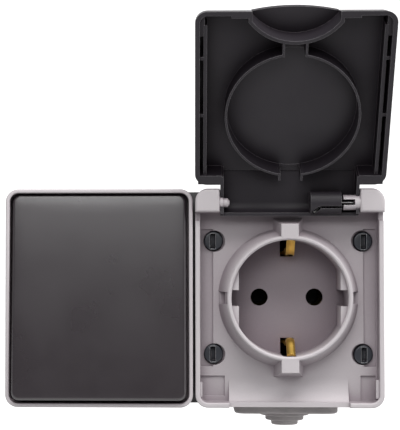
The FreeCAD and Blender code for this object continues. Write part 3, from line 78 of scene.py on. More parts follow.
class CombinationColours(bpy.types.PropertyGroup):
    """Base colours of the finishes."""
    housing: bpy.props.FloatVectorProperty(
        name="Housing", description="Light grey of frame and socket cover", subtype="COLOR", size=3,
        default=(0.50, 0.468, 0.486))
    lid: bpy.props.FloatVectorProperty(
        name="Lid", description="Anthracite of the lid", subtype="COLOR", size=3,
        default=(0.0225, 0.0195, 0.0242))
    rocker: bpy.props.FloatVectorProperty(
        name="Rocker", description="Anthracite of the rocker", subtype="COLOR", size=3,
        default=(0.0140, 0.0088, 0.0125))
    box: bpy.props.FloatVectorProperty(
        name="Box", description="Dark grey of the back box", subtype="COLOR", size=3,
        default=(0.07, 0.07, 0.072))
    rubber: bpy.props.FloatVectorProperty(
        name="Rubber", description="Grey of the grommet", subtype="COLOR", size=3,
        default=(0.38, 0.355, 0.36))
    screw: bpy.props.FloatVectorProperty(
        name="Screws", description="Blue-black of the cover screws", subtype="COLOR", size=3,
        default=(0.020, 0.023, 0.031))
    brass: bpy.props.FloatVectorProperty(
        name="Brass", description="Brass of the contacts", subtype="COLOR", size=3,
        default=(0.98, 0.64, 0.15))
    inner: bpy.props.FloatVectorProperty(
        name="Insulation", description="Black inner mouldings", subtype="COLOR", size=3,
        default=(0.012, 0.012, 0.012))


def sizes():
    return bpy.context.scene.combination_sizes


def colours():
    return bpy.context.scene.combination_colours


# Node helpers
def new_material(name):
    material = bpy.data.materials.new(name)
    material.use_nodes = True
    tree = material.node_tree
    tree.nodes.clear()
    output = tree.nodes.new("ShaderNodeOutputMaterial")
    shader = tree.nodes.new("ShaderNodeBsdfPrincipled")
    tree.links.new(shader.outputs["BSDF"], output.inputs["Surface"])
    return material, tree, shader


def feed(tree, socket, value):
    """Links an output to a socket, or sets the socket to a colour or a number."""
    if isinstance(value, bpy.types.NodeSocket):
        tree.links.new(value, socket)
    elif isinstance(value, tuple):
        socket.default_value = (*value, 1.0)
    else:
        socket.default_value = value


def noise(tree, scale, detail=3.0, rough=0.5, stretch=(1, 1, 1)):
    """A noise texture in object space; scale counts features in a metre."""
    coords = tree.nodes.new("ShaderNodeTexCoord")
    mapping = tree.nodes.new("ShaderNodeMapping")
    mapping.inputs["Scale"].default_value = stretch
    texture = tree.nodes.new("ShaderNodeTexNoise")
    texture.inputs["Scale"].default_value = scale
    texture.inputs["Detail"].default_value = detail
    texture.inputs["Roughness"].default_value = rough
    tree.links.new(coords.outputs["Object"], mapping.inputs["Vector"])
    tree.links.new(mapping.outputs["Vector"], texture.inputs["Vector"])
    return texture.outputs["Fac"]


def remap(tree, value, low, high, start=0.3, end=0.7):
    """Takes a value from the range start to end smoothly to the range low to high."""
    node = tree.nodes.new("ShaderNodeMapRange")
    node.interpolation_type = "SMOOTHSTEP"
    node.inputs["From Min"].default_value = start
    node.inputs["From Max"].default_value = end
    node.inputs["To Min"].default_value = low
    node.inputs["To Max"].default_value = high
    tree.links.new(value, node.inputs["Value"])
    return node.outputs["Result"]


def math_node(tree, operation, first, second):
    node = tree.nodes.new("ShaderNodeMath")
    node.operation = operation
    feed(tree, node.inputs[0], first)
    feed(tree, node.inputs[1], second)
    return node.outputs[0]


def mix_colour(tree, factor, first, second, blend="MIX"):
    node = tree.nodes.new("ShaderNodeMix")
    node.data_type = "RGBA"
    node.blend_type = blend
    feed(tree, node.inputs[0], factor)
    feed(tree, node.inputs[6], first)
    feed(tree, node.inputs[7], second)
    return node.outputs[2]


def soft_edges(tree, radius):
    """Rounded shading normal, and a mask that is 1 on edges."""
    bevel = tree.nodes.new("ShaderNodeBevel")
    bevel.samples = 6
    bevel.inputs["Radius"].default_value = radius
    geometry = tree.nodes.new("ShaderNodeNewGeometry")
    dot = tree.nodes.new("ShaderNodeVectorMath")
    dot.operation = "DOT_PRODUCT"
    tree.links.new(bevel.outputs["Normal"], dot.inputs[0])
    tree.links.new(geometry.outputs["Normal"], dot.inputs[1])
    mask = remap(tree, dot.outputs["Value"], 1.0, 0.0, start=0.86, end=0.995)
    return bevel.outputs["Normal"], mask


def dim(tree, base, level):
    """Darkens a colour by a level from 0 to 1 as painted shade, most in green and least in red."""
    red, green, blue = 1.0, 1.16, 1.06
    tint = tree.nodes.new("ShaderNodeCombineColor")
    for socket, power in zip(tint.inputs, (red, green, blue)):
        tree.links.new(math_node(tree, "POWER", level, power), socket)
    return mix_colour(tree, 1.0, base, tint.outputs["Color"], "MULTIPLY")


def hollow_shade(tree, base, reach, depth):
    """Paints shade into corners and hollows by ambient occlusion; depth is the share of colour lost."""
    shade = tree.nodes.new("ShaderNodeAmbientOcclusion")
    shade.samples = 8
    shade.inputs["Distance"].default_value = reach
    level = remap(tree, shade.outputs["AO"], 1.0 - depth, 1.0, start=0.28, end=0.86)
    return dim(tree, base, level), level


def well_shade(tree, base, depth):
    """Paints shade into the plug recess, darker towards its floor; depth is the share of colour lost there.
    """
    cover_floor, recess_floor = 37.0 * MM, 29.0 * MM
    coords = tree.nodes.new("ShaderNodeTexCoord")
    split = tree.nodes.new("ShaderNodeSeparateXYZ")
    tree.links.new(coords.outputs["Object"], split.inputs["Vector"])
    level = remap(tree, split.outputs["Y"], 1.0, 1.0 - depth, start=-cover_floor, end=-recess_floor)
    return dim(tree, base, level)


def grain_bump(tree, normal, height, layers):
    """Adds bump layers to a normal, each a noise value with its share of the height."""
    for value, share in layers:
        bump = tree.nodes.new("ShaderNodeBump")
        bump.inputs["Strength"].default_value = 1.0
        bump.inputs["Distance"].default_value = height * share
        tree.links.new(value, bump.inputs["Height"])
        tree.links.new(normal, bump.inputs["Normal"])
        normal = bump.outputs["Normal"]
    return normal


# Finishes
def moulded_plastic(name, colour, rough_low, rough_high, wear_and_highlight=0.25, lift=0.012, specular=0.45,
                    hollow=(0.012, 0.2), well=0.0):
    """A spark-eroded moulding with fine grain, slow sheen changes, rubbed edges, and painted highlights and
    shade.

    The edges are paler by wear, a share of the colour, and by lift; this stands partly for edge wear and
    partly for a painted highlight. The pair in hollow is the reach and depth of the painted shade in corners,
    which also dims the specular there, and well is the depth of the painted shade in the plug recess.
    """
    dust, rubbed, edge_cover = 0.04, 0.10, 0.8
    material, tree, shader = new_material(name)
    grain = noise(tree, 1.0 / sizes().grain, detail=4.0, rough=0.6)
    cloud = noise(tree, 55.0, rough=0.55)
    flow = noise(tree, 14.0, detail=2.0, stretch=(1.0, 1.0, 0.35))
    normal, edges = soft_edges(tree, sizes().edge_soft)
    sheen = remap(tree, cloud, rough_low, rough_high)
    sheen = math_node(tree, "SUBTRACT", sheen, math_node(tree, "MULTIPLY", edges, rubbed))
    # Paler edges: partly edge wear, partly a painted highlight where the edges would catch light
    paler = tuple(min(1.0, part * (1.0 + wear_and_highlight) + lift) for part in colour)
    darker = tuple(part * (1.0 - dust) for part in colour)
    base = mix_colour(tree, remap(tree, flow, 0.0, 1.0), tuple(colour), darker)
    base = mix_colour(tree, math_node(tree, "MULTIPLY", edges, edge_cover), base, paler)
    # Painted shade: corners and hollows darkened by ambient occlusion
    base, level = hollow_shade(tree, base, *hollow)
    # Painted shade deepening into the plug recess
    if well:
        base = well_shade(tree, base, well)
    bumps = ((grain, 1.0), (cloud, 1.5))
    tree.links.new(base, shader.inputs["Base Color"])
    tree.links.new(sheen, shader.inputs["Roughness"])
    # Painted shade on the sheen too: the specular is dimmed in hollows by the same occlusion level
    tree.links.new(math_node(tree, "MULTIPLY", level, specular), shader.inputs["Specular IOR Level"])
    tree.links.new(grain_bump(tree, normal, sizes().grain_height, bumps), shader.inputs["Normal"])
    return material


def rubber_finish(name, colour):
    """Dull rubber with fine pores and a faint bloom."""
    rounder, edge_cover, pore_height = 1.4, 0.5, 0.02 * MM
    material, tree, shader = new_material(name)
    pores = noise(tree, 5200.0, detail=5.0, rough=0.65)
    bloom = noise(tree, 160.0, detail=4.0, rough=0.6)
    normal, edges = soft_edges(tree, sizes().edge_soft * rounder)
    paler = tuple(part * 1.25 + 0.01 for part in colour)
    base = mix_colour(tree, remap(tree, bloom, 0.0, 0.7), tuple(colour), paler)
    base = mix_colour(tree, math_node(tree, "MULTIPLY", edges, edge_cover), base, paler)
    bumps = ((pores, 1.0), (bloom, 2.0))
    tree.links.new(base, shader.inputs["Base Color"])
    tree.links.new(remap(tree, bloom, 0.72, 0.88), shader.inputs["Roughness"])
    shader.inputs["Specular IOR Level"].default_value = 0.3
    tree.links.new(grain_bump(tree, normal, pore_height, bumps), shader.inputs["Normal"])
    return material


def metal_finish(name, colour, rough_low, rough_high, stretch=(1, 1, 1)):
    """Rolled or drawn metal with fine lines along one direction and a little tarnish."""
    crisper, rubbed, line_height = 0.5, 0.06, 0.006 * MM
    material, tree, shader = new_material(name)
    lines = noise(tree, 3200.0, rough=0.6, stretch=stretch)
    tarnish = noise(tree, 260.0, detail=4.0, rough=0.6)
    normal, edges = soft_edges(tree, sizes().edge_soft * crisper)
    dull = tuple(part * 0.72 for part in colour)
    base = mix_colour(tree, remap(tree, tarnish, 0.0, 0.8), tuple(colour), dull)
    sheen = remap(tree, tarnish, rough_low, rough_high)
    sheen = math_node(tree, "SUBTRACT", sheen, math_node(tree, "MULTIPLY", edges, rubbed))
    tree.links.new(base, shader.inputs["Base Color"])
    tree.links.new(sheen, shader.inputs["Roughness"])
    shader.inputs["Metallic"].default_value = 1.0
    tree.links.new(grain_bump(tree, normal, line_height, ((lines, 1.0),)), shader.inputs["Normal"])
    return material


FINISHES = {}


def finishes():
    """The material of each slot, made when the first one is asked for."""
    if not FINISHES:
        tint = colours()
        FINISHES.update(
            # Housing: painted shade in corners and hollows, and painted shade down into the plug recess
            housing=moulded_plastic("light_grey_moulding", tint.housing, 0.40, 0.50, wear_and_highlight=0.12,
                                    hollow=(0.026, 0.42), well=0.27),
            box=moulded_plastic("dark_grey_moulding", tint.box, 0.50, 0.62),
            # Lid: edges painted much paler as a highlight, and painted shade in its hollows
            anthracite=moulded_plastic("anthracite_moulding", tint.lid, 0.40, 0.52, wear_and_highlight=1.6, lift=0.20,
                                       specular=0.24, hollow=(0.018, 0.55)),
            rocker=moulded_plastic("rocker_moulding", tint.rocker, 0.27, 0.31, wear_and_highlight=0.8, specular=0.85),
            gasket=rubber_finish("black_rubber", (0.02, 0.02, 0.02)),
            grommet=rubber_finish("grey_rubber", tint.rubber),
            # Screws: edges painted nearly white as a highlight, and the slots painted nearly black as shade
            screw=moulded_plastic("screw_coating", tint.screw, 0.26, 0.36, wear_and_highlight=1.0, lift=0.8,
                                  specular=0.6, hollow=(0.0016, 0.97)),
            steel=metal_finish("zinc_steel", (0.68, 0.68, 0.67), 0.24, 0.38),
            brass=metal_finish("plain_brass", tint.brass, 0.30, 0.44, stretch=(1, 1, 0.1)),
            # Contact sleeves: brass darkened nearly to black as painted shade, so the pin holes read dark
            sleeve=metal_finish("shade_darkened_brass", (0.10, 0.075, 0.035), 0.45, 0.6),
            insulation=moulded_plastic("black_moulding", tint.inner, 0.48, 0.60))
    return FINISHES


def paint_frame():
    """Gives every node of the construction model the finish of its slot."""
    slots = {part["node"]: part["material_slot"] for part in frame["record"]["subparts"]}
    for name, item in frame["nodes"].items():
        # The contact sleeves get brass darkened as painted shade instead of their slot's finish
        finish = "sleeve" if name.startswith("contact_sleeve") else slots[name]
        item.data.materials.clear()
        item.data.materials.append(finishes()[finish])


# Drawing helpers
def arc_points(centre, radius, start, end, steps):
    """Pairs along an arc from one angle to another, in degrees."""
    points = []
    for step in range(steps + 1):
        angle = math.radians(start + (end - start) * step / steps)
        points.append((centre[0] + radius * math.cos(angle), centre[1] + radius * math.sin(angle)))
    return points


def rounded_outline(wide, tall, radius, along=8, corner=7):
    """Points of a rounded rectangle round the origin, counter-clockwise from the right side."""
    half_x, half_z = wide / 2 - radius, tall / 2 - radius
    centres = ((half_x, half_z), (-half_x, half_z), (-half_x, -half_z), (half_x, -half_z))
    arcs = [arc_points(centre, radius, 90 * number, 90 * number + 90, corner)
            for number, centre in enumerate(centres)]
    points = []
    for arc, following in zip(arcs, arcs[1:] + arcs[:1]):
        points += arc
        (start_x, start_z), (end_x, end_z) = arc[-1], following[0]
        for step in range(1, along):
            share = step / along
            points.append((start_x + (end_x - start_x) * share, start_z + (end_z - start_z) * share))
    return points


def smooth_path(points, steps):
    """Points along a rounded line through the given pairs."""
    ends = [points[0], *points, points[-1]]
    line = []
    for before, start, end, after in zip(ends, ends[1:], ends[2:], ends[3:]):
        for step in range(steps):
            t = step / steps
            line.append(tuple(
                0.5 * (2 * b + (c - a) * t + (2 * a - 5 * b + 4 * c - d) * t ** 2
                       + (3 * b - a - 3 * c + d) * t ** 3)
                for a, b, c, d in zip(before, start, end, after)))
    line.append(points[-1])
    return line


def join_rows(work, first, second):
    """Joins two closed rows of vertices with quads."""
    count = len(first)
    for number in range(count):
        after = (number + 1) % count
        work.faces.new((first[number], first[after], second[after], second[number]))


def add_rings(work, rings, closed=False):
    """Joins rings of equal length, and fans out both ends if closed; gives the rows of vertices."""
    rows = [[work.verts.new(point) for point in ring] for ring in rings]
    for first, second in zip(rows, rows[1:]):
        join_rows(work, first, second)
    if closed:
        for row in (rows[0], rows[-1]):
            hub = work.verts.new(sum((vert.co for vert in row), Vector()) / len(row))
            for number, vert in enumerate(row):
                work.faces.new((vert, row[(number + 1) % len(row)], hub))
    return rows


def lathe(work, profile, place, segments):
    """Turns (radius, height) pairs about the local Z axis of the matrix in place."""
    turns = [2 * math.pi * number / segments for number in range(segments)]
    rings = [[place @ Vector((radius * math.cos(turn), radius * math.sin(turn), height)) for turn in turns]
             for radius, height in profile]
    add_rings(work, rings, closed=True)


def ring_arc(section, start=0.0, sweep=360.0, steps=96):
    """A ring or arc about the recess axis; section holds (radius, height) corners."""
    work = bmesh.new()
    whole = sweep == 360.0
    rows = []
    for step in range(steps if whole else steps + 1):
        angle = math.radians(start + sweep * step / steps)
        rows.append([work.verts.new((RIGHT_X + radius * math.cos(angle), -height, radius * math.sin(angle)))
                     for radius, height in section])
    following = rows[1:] + rows[:1] if whole else rows[1:]
    for first, second in zip(rows, following):
        join_rows(work, first, second)
    if not whole:
        work.faces.new(rows[0])
        work.faces.new(rows[-1])
    return work


def add_box(work, low, high):
    """A plain block between two corners."""
    verts = [work.verts.new((x, y, z)) for x in (low[0], high[0]) for y in (low[1], high[1])
             for z in (low[2], high[2])]
    for quad in ((0, 1, 3, 2), (4, 6, 7, 5), (0, 4, 5, 1), (2, 3, 7, 6), (0, 2, 6, 4), (1, 5, 7, 3)):
        work.faces.new([verts[number] for number in quad])


def add_frustum(work, floor, mouth, deep, front):
    """A block between two rectangles (x0, x1, z0, z1) at the heights deep and front."""
    rows = []
    for (x0, x1, z0, z1), height in ((floor, deep), (mouth, front)):
        rows.append([work.verts.new((x, -height, z)) for x, z in ((x0, z0), (x1, z0), (x1, z1), (x0, z1))])
        work.faces.new(rows[-1])
    join_rows(work, *rows)


# Object helpers
def add_object(name, data):
    item = bpy.data.objects.new(name, data)
    bpy.context.scene.collection.objects.link(item)
    return item


def finished_mesh(name, work):
    """Turns a bmesh drawn in millimetres into a mesh in metres."""
    bmesh.ops.recalc_face_normals(work, faces=work.faces)
    bmesh.ops.scale(work, vec=(MM, MM, MM), verts=work.verts)
    mesh = bpy.data.meshes.new(name)
    work.to_mesh(mesh)
    work.free()
    return mesh


def drawn_from(mesh):
    """A bmesh in millimetres of a mesh in metres."""
    work = bmesh.new()
    work.from_mesh(mesh)
    bmesh.ops.scale(work, vec=(1 / MM, 1 / MM, 1 / MM), verts=work.verts)
    return work


def evaluated_mesh(item):
    """A mesh of an object with its modifiers, or of a curve."""
    return bpy.data.meshes.new_from_object(item.evaluated_get(bpy.context.evaluated_depsgraph_get()))


def smooth_by_angle(item):
    """Smooth shading with an edge kept sharp where its faces turn by more than SHARP_ANGLE."""
    work = bmesh.new()
    work.from_mesh(item.data)
    for face in work.faces:
        face.smooth = True
    for edge in work.edges:
        edge.smooth = len(edge.link_faces) != 2 or edge.calc_face_angle(0.0) < SHARP_ANGLE
    work.to_mesh(item.data)
    work.free()


def add_piece(name, work, finish, body, stands_for=()):
    """Turns the drawn mesh into a piece that moves with its body."""
    mesh = finished_mesh(name, work)
    mesh.materials.append(finishes()[finish])
    item = add_object(name, mesh)
    smooth_by_angle(item)
    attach(item, body)
    if stands_for:
        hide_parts(*stands_for)
    return item


def node_copy(node, name, finish, body):
    """A piece that starts as the shape of a construction node, with its split corners joined."""
    work = drawn_from(frame["nodes"][node].data)
    bmesh.ops.remove_doubles(work, verts=work.verts, dist=0.0001)
    return add_piece(name, work, finish, body, (node,))


def combine(item, other, operation="DIFFERENCE"):
    """Cuts a bmesh, drawn in millimetres, out of a piece, or joins it on."""
    mesh = finished_mesh(item.name + "_tool", other)
    tool = add_object(mesh.name, mesh)
    modifier = item.modifiers.new("shape", "BOOLEAN")
    modifier.operation = operation
    modifier.solver = "EXACT"
    modifier.object = tool
    new_mesh = evaluated_mesh(item)
    item.modifiers.clear()
    item.data = new_mesh
    bpy.data.objects.remove(tool)
    bpy.data.meshes.remove(mesh)
    smooth_by_angle(item)


# Pieces
def build_rocker():
    """The large rocker: crowned front, rolled edge, hollow behind."""
    wide, tall, corner, wall, foot = 58.8, 69.0, 2.6, 1.8, 0.3
    front, middle, back, roll, chamfer, hollow = 6.6, 3.0, 0.2, 1.05, 0.35, 2.0
    crown_half_x, crown_half_z, front_rings, spacing = 28.4, 33.5, 12, 1 / 12.5
    crown = sizes().rocker_crown / MM
    rim = front - crown
    turn = Matrix.Rotation(math.radians(-TILT_REST), 4, "X")
    place = Matrix.Translation((LEFT_X, -TILT_HEIGHT, 0)) @ turn

    def outline(inset):
        return rounded_outline(wide - 2 * inset, tall - 2 * inset, corner - inset, along=14)

    def rise(x, z):
        """How far the crowned front stands over the rim."""
        return crown * (1 - 0.45 * (x / crown_half_x) ** 2 - 0.55 * (z / crown_half_z) ** 2)

    section = [(wall, front - hollow), (wall, back + chamfer), (wall - foot, back)]
    section += [(foot, back), (0.0, back + chamfer), (0.0, middle)]
    section += arc_points((roll, rim - roll), roll, 180, 90, 7)
    rings = [[place @ Vector((x, -height, z)) for x, z in outline(inset)] for inset, height in section]
    for step in range(1, front_rings + 1):
        share = 1 - step * spacing
        inward = [(x * share, z * share) for x, z in outline(roll)]
        rings.append([place @ Vector((x, -rim - rise(x, z), z)) for x, z in inward])
    work = bmesh.new()
    add_rings(work, rings, closed=True)
    add_piece("rocker_cap", work, "rocker", "rocker", ("rocker",))


def build_cover():
    """The socket cover: the collar is one steep cone under its rim, and its two keys reach up to the rim."""
    item = node_copy("socket_cover", "socket_cover_moulding", "housing", "housing")
    shoulder = [(21.0, 44.0), (21.0, 42.9), (23.0, 38.0), (24.6, 38.0), (24.6, 44.0)]
    combine(item, ring_arc(shoulder))
    inside, foot, notch = 20.4, 36.2, 5.4
    cone = [(inside, 43.9), (20.93, 43.64), (21.15, 43.5), (21.36, 43.1), (23.5, 37.3), (23.85, foot)]
    cone.append((inside, foot))
    for start in (notch, 180 + notch):
        combine(item, ring_arc(cone, start, 180 - 2 * notch, 48), "UNION")
    key_start = 20.45
    key_levels = ((36.0, 5.12, 27.02), (43.4, 3.16, 25.06), (46.2, 2.98, 24.92), (46.5, 2.8, 24.7))
    for side in (-1, 1):
        rings = []
        for height, half, end in key_levels:
            corners = ((-half, key_start), (half, key_start), (half, end), (-half, end))
            rings.append([Vector((RIGHT_X + x, -height, side * z)) for x, z in corners])
        key = bmesh.new()
        add_rings(key, rings, closed=True)
        combine(item, key, "UNION")


def screw_profile(seat, top):
    """(radius, height) pairs of a cover screw: tip, thread, shank, thin flange and rounded head."""
    root, crest, pitch, flank, flat, turns = 1.05, 1.48, 1.15, 0.5, 0.12, 14
    head, flange, roll = 3.2, 3.4, 0.5
    profile = [(0.5, seat - 23.0), (0.95, seat - 22.6)]
    for turn in range(turns):
        level = seat - 21.8 + pitch * turn
        profile += [(root, level), (crest, level + flank), (crest, level + flank + flat)]
    profile += [(1.1, seat - 5.6), (1.25, seat), (flange - 0.1, seat), (flange, seat + 0.1)]
    profile += [(flange, seat + 0.2), (flange - 0.1, seat + 0.25), (head + 0.02, seat + 0.28)]
    profile += [(head, seat + 0.4), (head, top - roll)]
    return profile + arc_points((head - roll, top - roll), roll, 0, 90, 6) + [(1.4, top)]


def build_cover_screws():
    """Four slotted screws of the socket cover; a slot has closed ends, and slopes outwards and down."""
    seat, top = 34.9, 36.8
    hole_x, hole_z, shift_x, shift_z = 25.05, 19.2, 0.36, 0.12
    slot_half, slot_deep, spare = 0.7, 1.5, 0.1
    work = bmesh.new()
    cutter = bmesh.new()
    for outward in (-1, 1):
        for upward in (-1, 1):
            x = RIGHT_X + outward * (hole_x + shift_x)
            z = upward * hole_z - outward * shift_z
            out_of_wall = Matrix.Translation((x, 0, z)) @ Matrix.Rotation(math.radians(90), 4, "X")
            lathe(work, screw_profile(seat, top), out_of_wall, 56)
            floor = (x - slot_half, x + slot_half, z - 2.1, z + 2.4)
            mouth_x = sorted((x - 0.75 * outward, x + 1.2 * outward))
            add_frustum(cutter, floor, (*mouth_x, z - 2.75, z + 2.45), top - slot_deep, top + spare)
    item = add_piece("cover_screws_detailed", work, "screw", "housing", ("cover_screws",))
    combine(item, cutter)


def build_grommet():
    """Stepped rubber grommet: plate with rolled rim, stepped cone, closed tip, neck inside the box."""
    wide, deep, corner, thick, roll, chamfer = 36.0, 24.0, 4.0, 4.2, 0.9, 0.3
    face = BOX_BOTTOM - thick
    section = [(chamfer, BOX_BOTTOM), (0.0, BOX_BOTTOM - chamfer)]
    section += arc_points((roll, face + roll), roll, 180, 270, 6)
    rings = []
    for inset, level in section:
        outline = rounded_outline(wide - 2 * inset, deep - 2 * inset, corner - inset, along=6)
        rings.append([Vector((RIGHT_X + x, -GROMMET_HEIGHT - y, level)) for x, y in outline])
    work = bmesh.new()
    add_rings(work, rings, closed=True)
    place = Matrix.Translation((RIGHT_X, -GROMMET_HEIGHT, 0))
    steps = [(9.3, 0.4), (9.05, -0.05), (8.75, -0.25), (8.75, -1.0), (8.55, -1.2)]
    steps += [(7.1, -1.3), (6.75, -1.5), (6.7, -2.75), (6.5, -3.0)]
    steps += [(5.1, -3.1), (4.75, -3.35), (4.65, -4.4), (4.4, -4.65)]
    steps += [(3.6, -4.7), (3.3, -4.45), (2.8, -4.3), (1.2, -4.25)]
    lathe(work, [(radius, face + level) for radius, level in steps], place, 72)
    neck = [(7.6, 4.0), (9.9, 4.0), (11.1, 2.0), (9.5, 2.0), (9.5, -0.2)]
    lathe(work, [(radius, BOX_BOTTOM + level) for radius, level in neck], place, 72)
    add_piece("grommet_stepped", work, "grommet", "housing", ("cable_grommet",))


def build_lid():
    """The lid moulding, with its corner radius carried up the drafted free end."""
    half, free, edge, draft, radius = 31.65, -68.4, -0.2, 3.1 / 9.0, 4.0
    item = node_copy("lid", "lid_moulding", "anthracite", "lid")
    turn = Matrix.Rotation(math.radians(-LID_OPEN), 4, "X")
    swing = Matrix.Translation((RIGHT_X, -HINGE_HEIGHT, HINGE_Z)) @ turn
    cutter = bmesh.new()
    for side in (-1, 1):
        rings = []
        for level in (-1.6, 10.4):
            end = free + draft * (level - edge)
            centre_x, centre_z = half - radius, end + radius
            outline = arc_points((centre_x, centre_z), radius, -90, 0, 12)
            beyond_x, beyond_z = half + 2.0, end - 3.0
            outline += [(beyond_x, centre_z), (beyond_x, beyond_z), (centre_x, beyond_z)]
            rings.append([swing @ Vector((side * x, -level, z)) for x, z in outline])
        for row in add_rings(cutter, rings):
            cutter.faces.new(row)
    combine(item, cutter)


def build_earth_strip():
    """Earth strip: one bent brass strip with a crowned spring tongue at each end, and its clamp block."""
    tongue_start, tongue_blend, tongue_crown, across_steps = 26.4, 1.6, 0.5, 8
    half = [(11.0, 13.0), (11.5, 14.4), (13.5, 14.95), (24.0, 14.95), (26.6, 15.4), (28.6, 16.3)]
    half += [(30.8, 16.3), (33.4, 15.1), (35.2, 14.6), (36.8, 15.3), (39.2, 17.5), (41.5, 19.4)]
    line = smooth_path([(height, -z) for height, z in reversed(half)] + half, 5)
    rings = []
    for number, (height, z) in enumerate(line):
        before, after = line[max(number - 1, 0)], line[min(number + 1, len(line) - 1)]
        run = Vector((0, before[0] - after[0], after[1] - before[1])).normalized()
        across = Vector((0, -run.z, run.y))
        narrow = min(1.0, max(0.0, (height - tongue_start) / tongue_blend))
        low, high = -2.1 + 1.3 * narrow, 2.0 + 0.1 * narrow
        thick = 1.05 - 0.15 * narrow
        crown = math.copysign(tongue_crown * narrow, z)
        ring = []
        for side in (1, -1):
            for step in range(across_steps + 1):
                share = step / across_steps if side > 0 else 1 - step / across_steps
                off_middle = 2 * share - 1
                edge = 1 - 0.35 * off_middle ** 6
                lift = side * thick / 2 * edge - crown * (1 - off_middle ** 2)
                ring.append(Vector((RIGHT_X + low + (high - low) * share, -height, z)) + across * lift)
        rings.append(ring)
    work = bmesh.new()
    add_rings(work, rings, closed=True)
    add_box(work, (RIGHT_X - 12.9, -19.9, -19.9), (RIGHT_X - 5.1, -12.0, -12.3))
    add_box(work, (RIGHT_X - 5.4, -13.2, -18.2), (RIGHT_X - 2.0, -12.0, -14.2))
    add_piece("earth_strip", work, "brass", "housing", ("earth_bow",))


def build_lid_spring():
    """Torsion spring: leg, close coils, straight end into the slotted stub."""
    first, radius, pitch, turns, turn_steps, wire = 9.5, 1.55, 0.95, 6.1, 24, 0.32
    route = [(first - 1.4, -1.9, -3.25), (first - 0.35, -1.35, -2.45)]
    steps = int(turns * turn_steps)
    for step in range(steps + 1):
        turned = turns * step / steps
        angle = 2 * math.pi * turned - math.pi / 3
        route.append((first + pitch * turned, -radius * math.cos(angle), radius * math.sin(angle)))
    last = first + pitch * turns
    route += [(last + 0.5, -0.75 * radius, -0.6), (last + 1.2, -0.3, -0.1), (last + 2.4, 0, 0), (21.2, 0, 0)]
    curve = bpy.data.curves.new("lid_torsion_wire", "CURVE")
    curve.dimensions = "3D"
    curve.bevel_depth = wire * MM
    curve.bevel_resolution = 4
    curve.use_fill_caps = True
    line = curve.splines.new("POLY")
    line.points.add(len(route) - 1)
    hinge = Vector((RIGHT_X, -HINGE_HEIGHT, HINGE_Z))
    for target, offset in zip(line.points, route):
        target.co = (*((hinge + Vector(offset)) * MM), 1.0)
    holder = add_object("lid_torsion_curve", curve)
    mesh = evaluated_mesh(holder)
    bpy.data.objects.remove(holder)
    work = drawn_from(mesh)
    bpy.data.meshes.remove(mesh)
    add_piece("lid_torsion_spring", work, "steel", "lid", ("lid_spring",))


# Stage
def make_backdrop():
    """A pale wall that turns into a floor behind and below the object."""
    floor, wall, bend, half_wide, near, top = -0.42, 0.85, 0.6, 2.4, -1.6, 2.2
    profile = [(near, floor), (-0.1, floor)]
    profile += arc_points((wall - bend, floor + bend), bend, -90, 0, 8)
    profile.append((wall, top))
    work = bmesh.new()
    left, right = [[work.verts.new((x, y, z)) for y, z in profile] for x in (-half_wide, half_wide)]
    for number in range(len(profile) - 1):
        work.faces.new((left[number], right[number], right[number + 1], left[number + 1])).smooth = True
    mesh = bpy.data.meshes.new("backdrop")
    work.to_mesh(mesh)
    work.free()
    mesh.materials.append(backdrop_paper())
    item = add_object("backdrop", mesh)


def backdrop_paper():
    """Pale grey paper that glows white to the camera and in reflections."""
    material, tree, shader = new_material("backdrop_paper")
    shader.inputs["Base Color"].default_value = (0.55, 0.55, 0.55, 1.0)
    shader.inputs["Roughness"].default_value = 0.9
    shader.inputs["Emission Color"].default_value = (1.0, 1.0, 1.0, 1.0)
    path = tree.nodes.new("ShaderNodeLightPath")
    seen = math_node(tree, "MAXIMUM", path.outputs["Is Camera Ray"], path.outputs["Is Glossy Ray"])
    glow = remap(tree, seen, 0.0, 0.8, start=0.0, end=1.0)
    tree.links.new(glow, shader.inputs["Emission Strength"])
    return material


def make_air():
    """Soft light from all round, white where the camera looks past the backdrop."""
    ambient, seen = 0.23, 1.0
    world = bpy.data.worlds.new("studio_air")
    world.use_nodes = True
    tree = world.node_tree
    tree.nodes.clear()
    output = tree.nodes.new("ShaderNodeOutputWorld")
    back = tree.nodes.new("ShaderNodeBackground")
    back.inputs["Color"].default_value = (1.0, 1.0, 1.0, 1.0)
    path = tree.nodes.new("ShaderNodeLightPath")
    level = remap(tree, path.outputs["Is Camera Ray"], ambient, seen, start=0.0, end=1.0)
    tree.links.new(level, back.inputs["Strength"])
    tree.links.new(back.outputs["Background"], output.inputs["Surface"])
    bpy.context.scene.world = world


def add_area(name, place, aim, wide, tall, power, tint=(1, 1, 1)):
    light = bpy.data.lights.new(name, "AREA")
    light.shape = "RECTANGLE"
    light.size = wide
    light.size_y = tall
    light.energy = power
    light.color = tint
    item = add_object(name, light)
    item.location = place
    direction = Vector(aim) - Vector(place)
    item.rotation_euler = direction.to_track_quat("-Z", "Y").to_euler()


def make_lights():
    """A large softbox overhead, a small one in front and a strip at each side."""
    middle = (0.0, 0.0, 0.0)
    add_area("overhead_softbox", (0.16, -0.42, 0.72), (0.01, 0.0, 0.0), 0.90, 0.46, 9.6, (1.0, 0.99, 0.98))
    add_area("front_softbox", (-0.07, -0.72, 0.27), (-0.03, 0.0, 0.0), 0.46, 0.22, 1.5)
    add_area("left_strip", (-0.85, -0.35, 0.10), middle, 0.30, 0.80, 0.7)
    add_area("right_strip", (0.85, -0.35, 0.10), middle, 0.30, 0.80, 2.4)


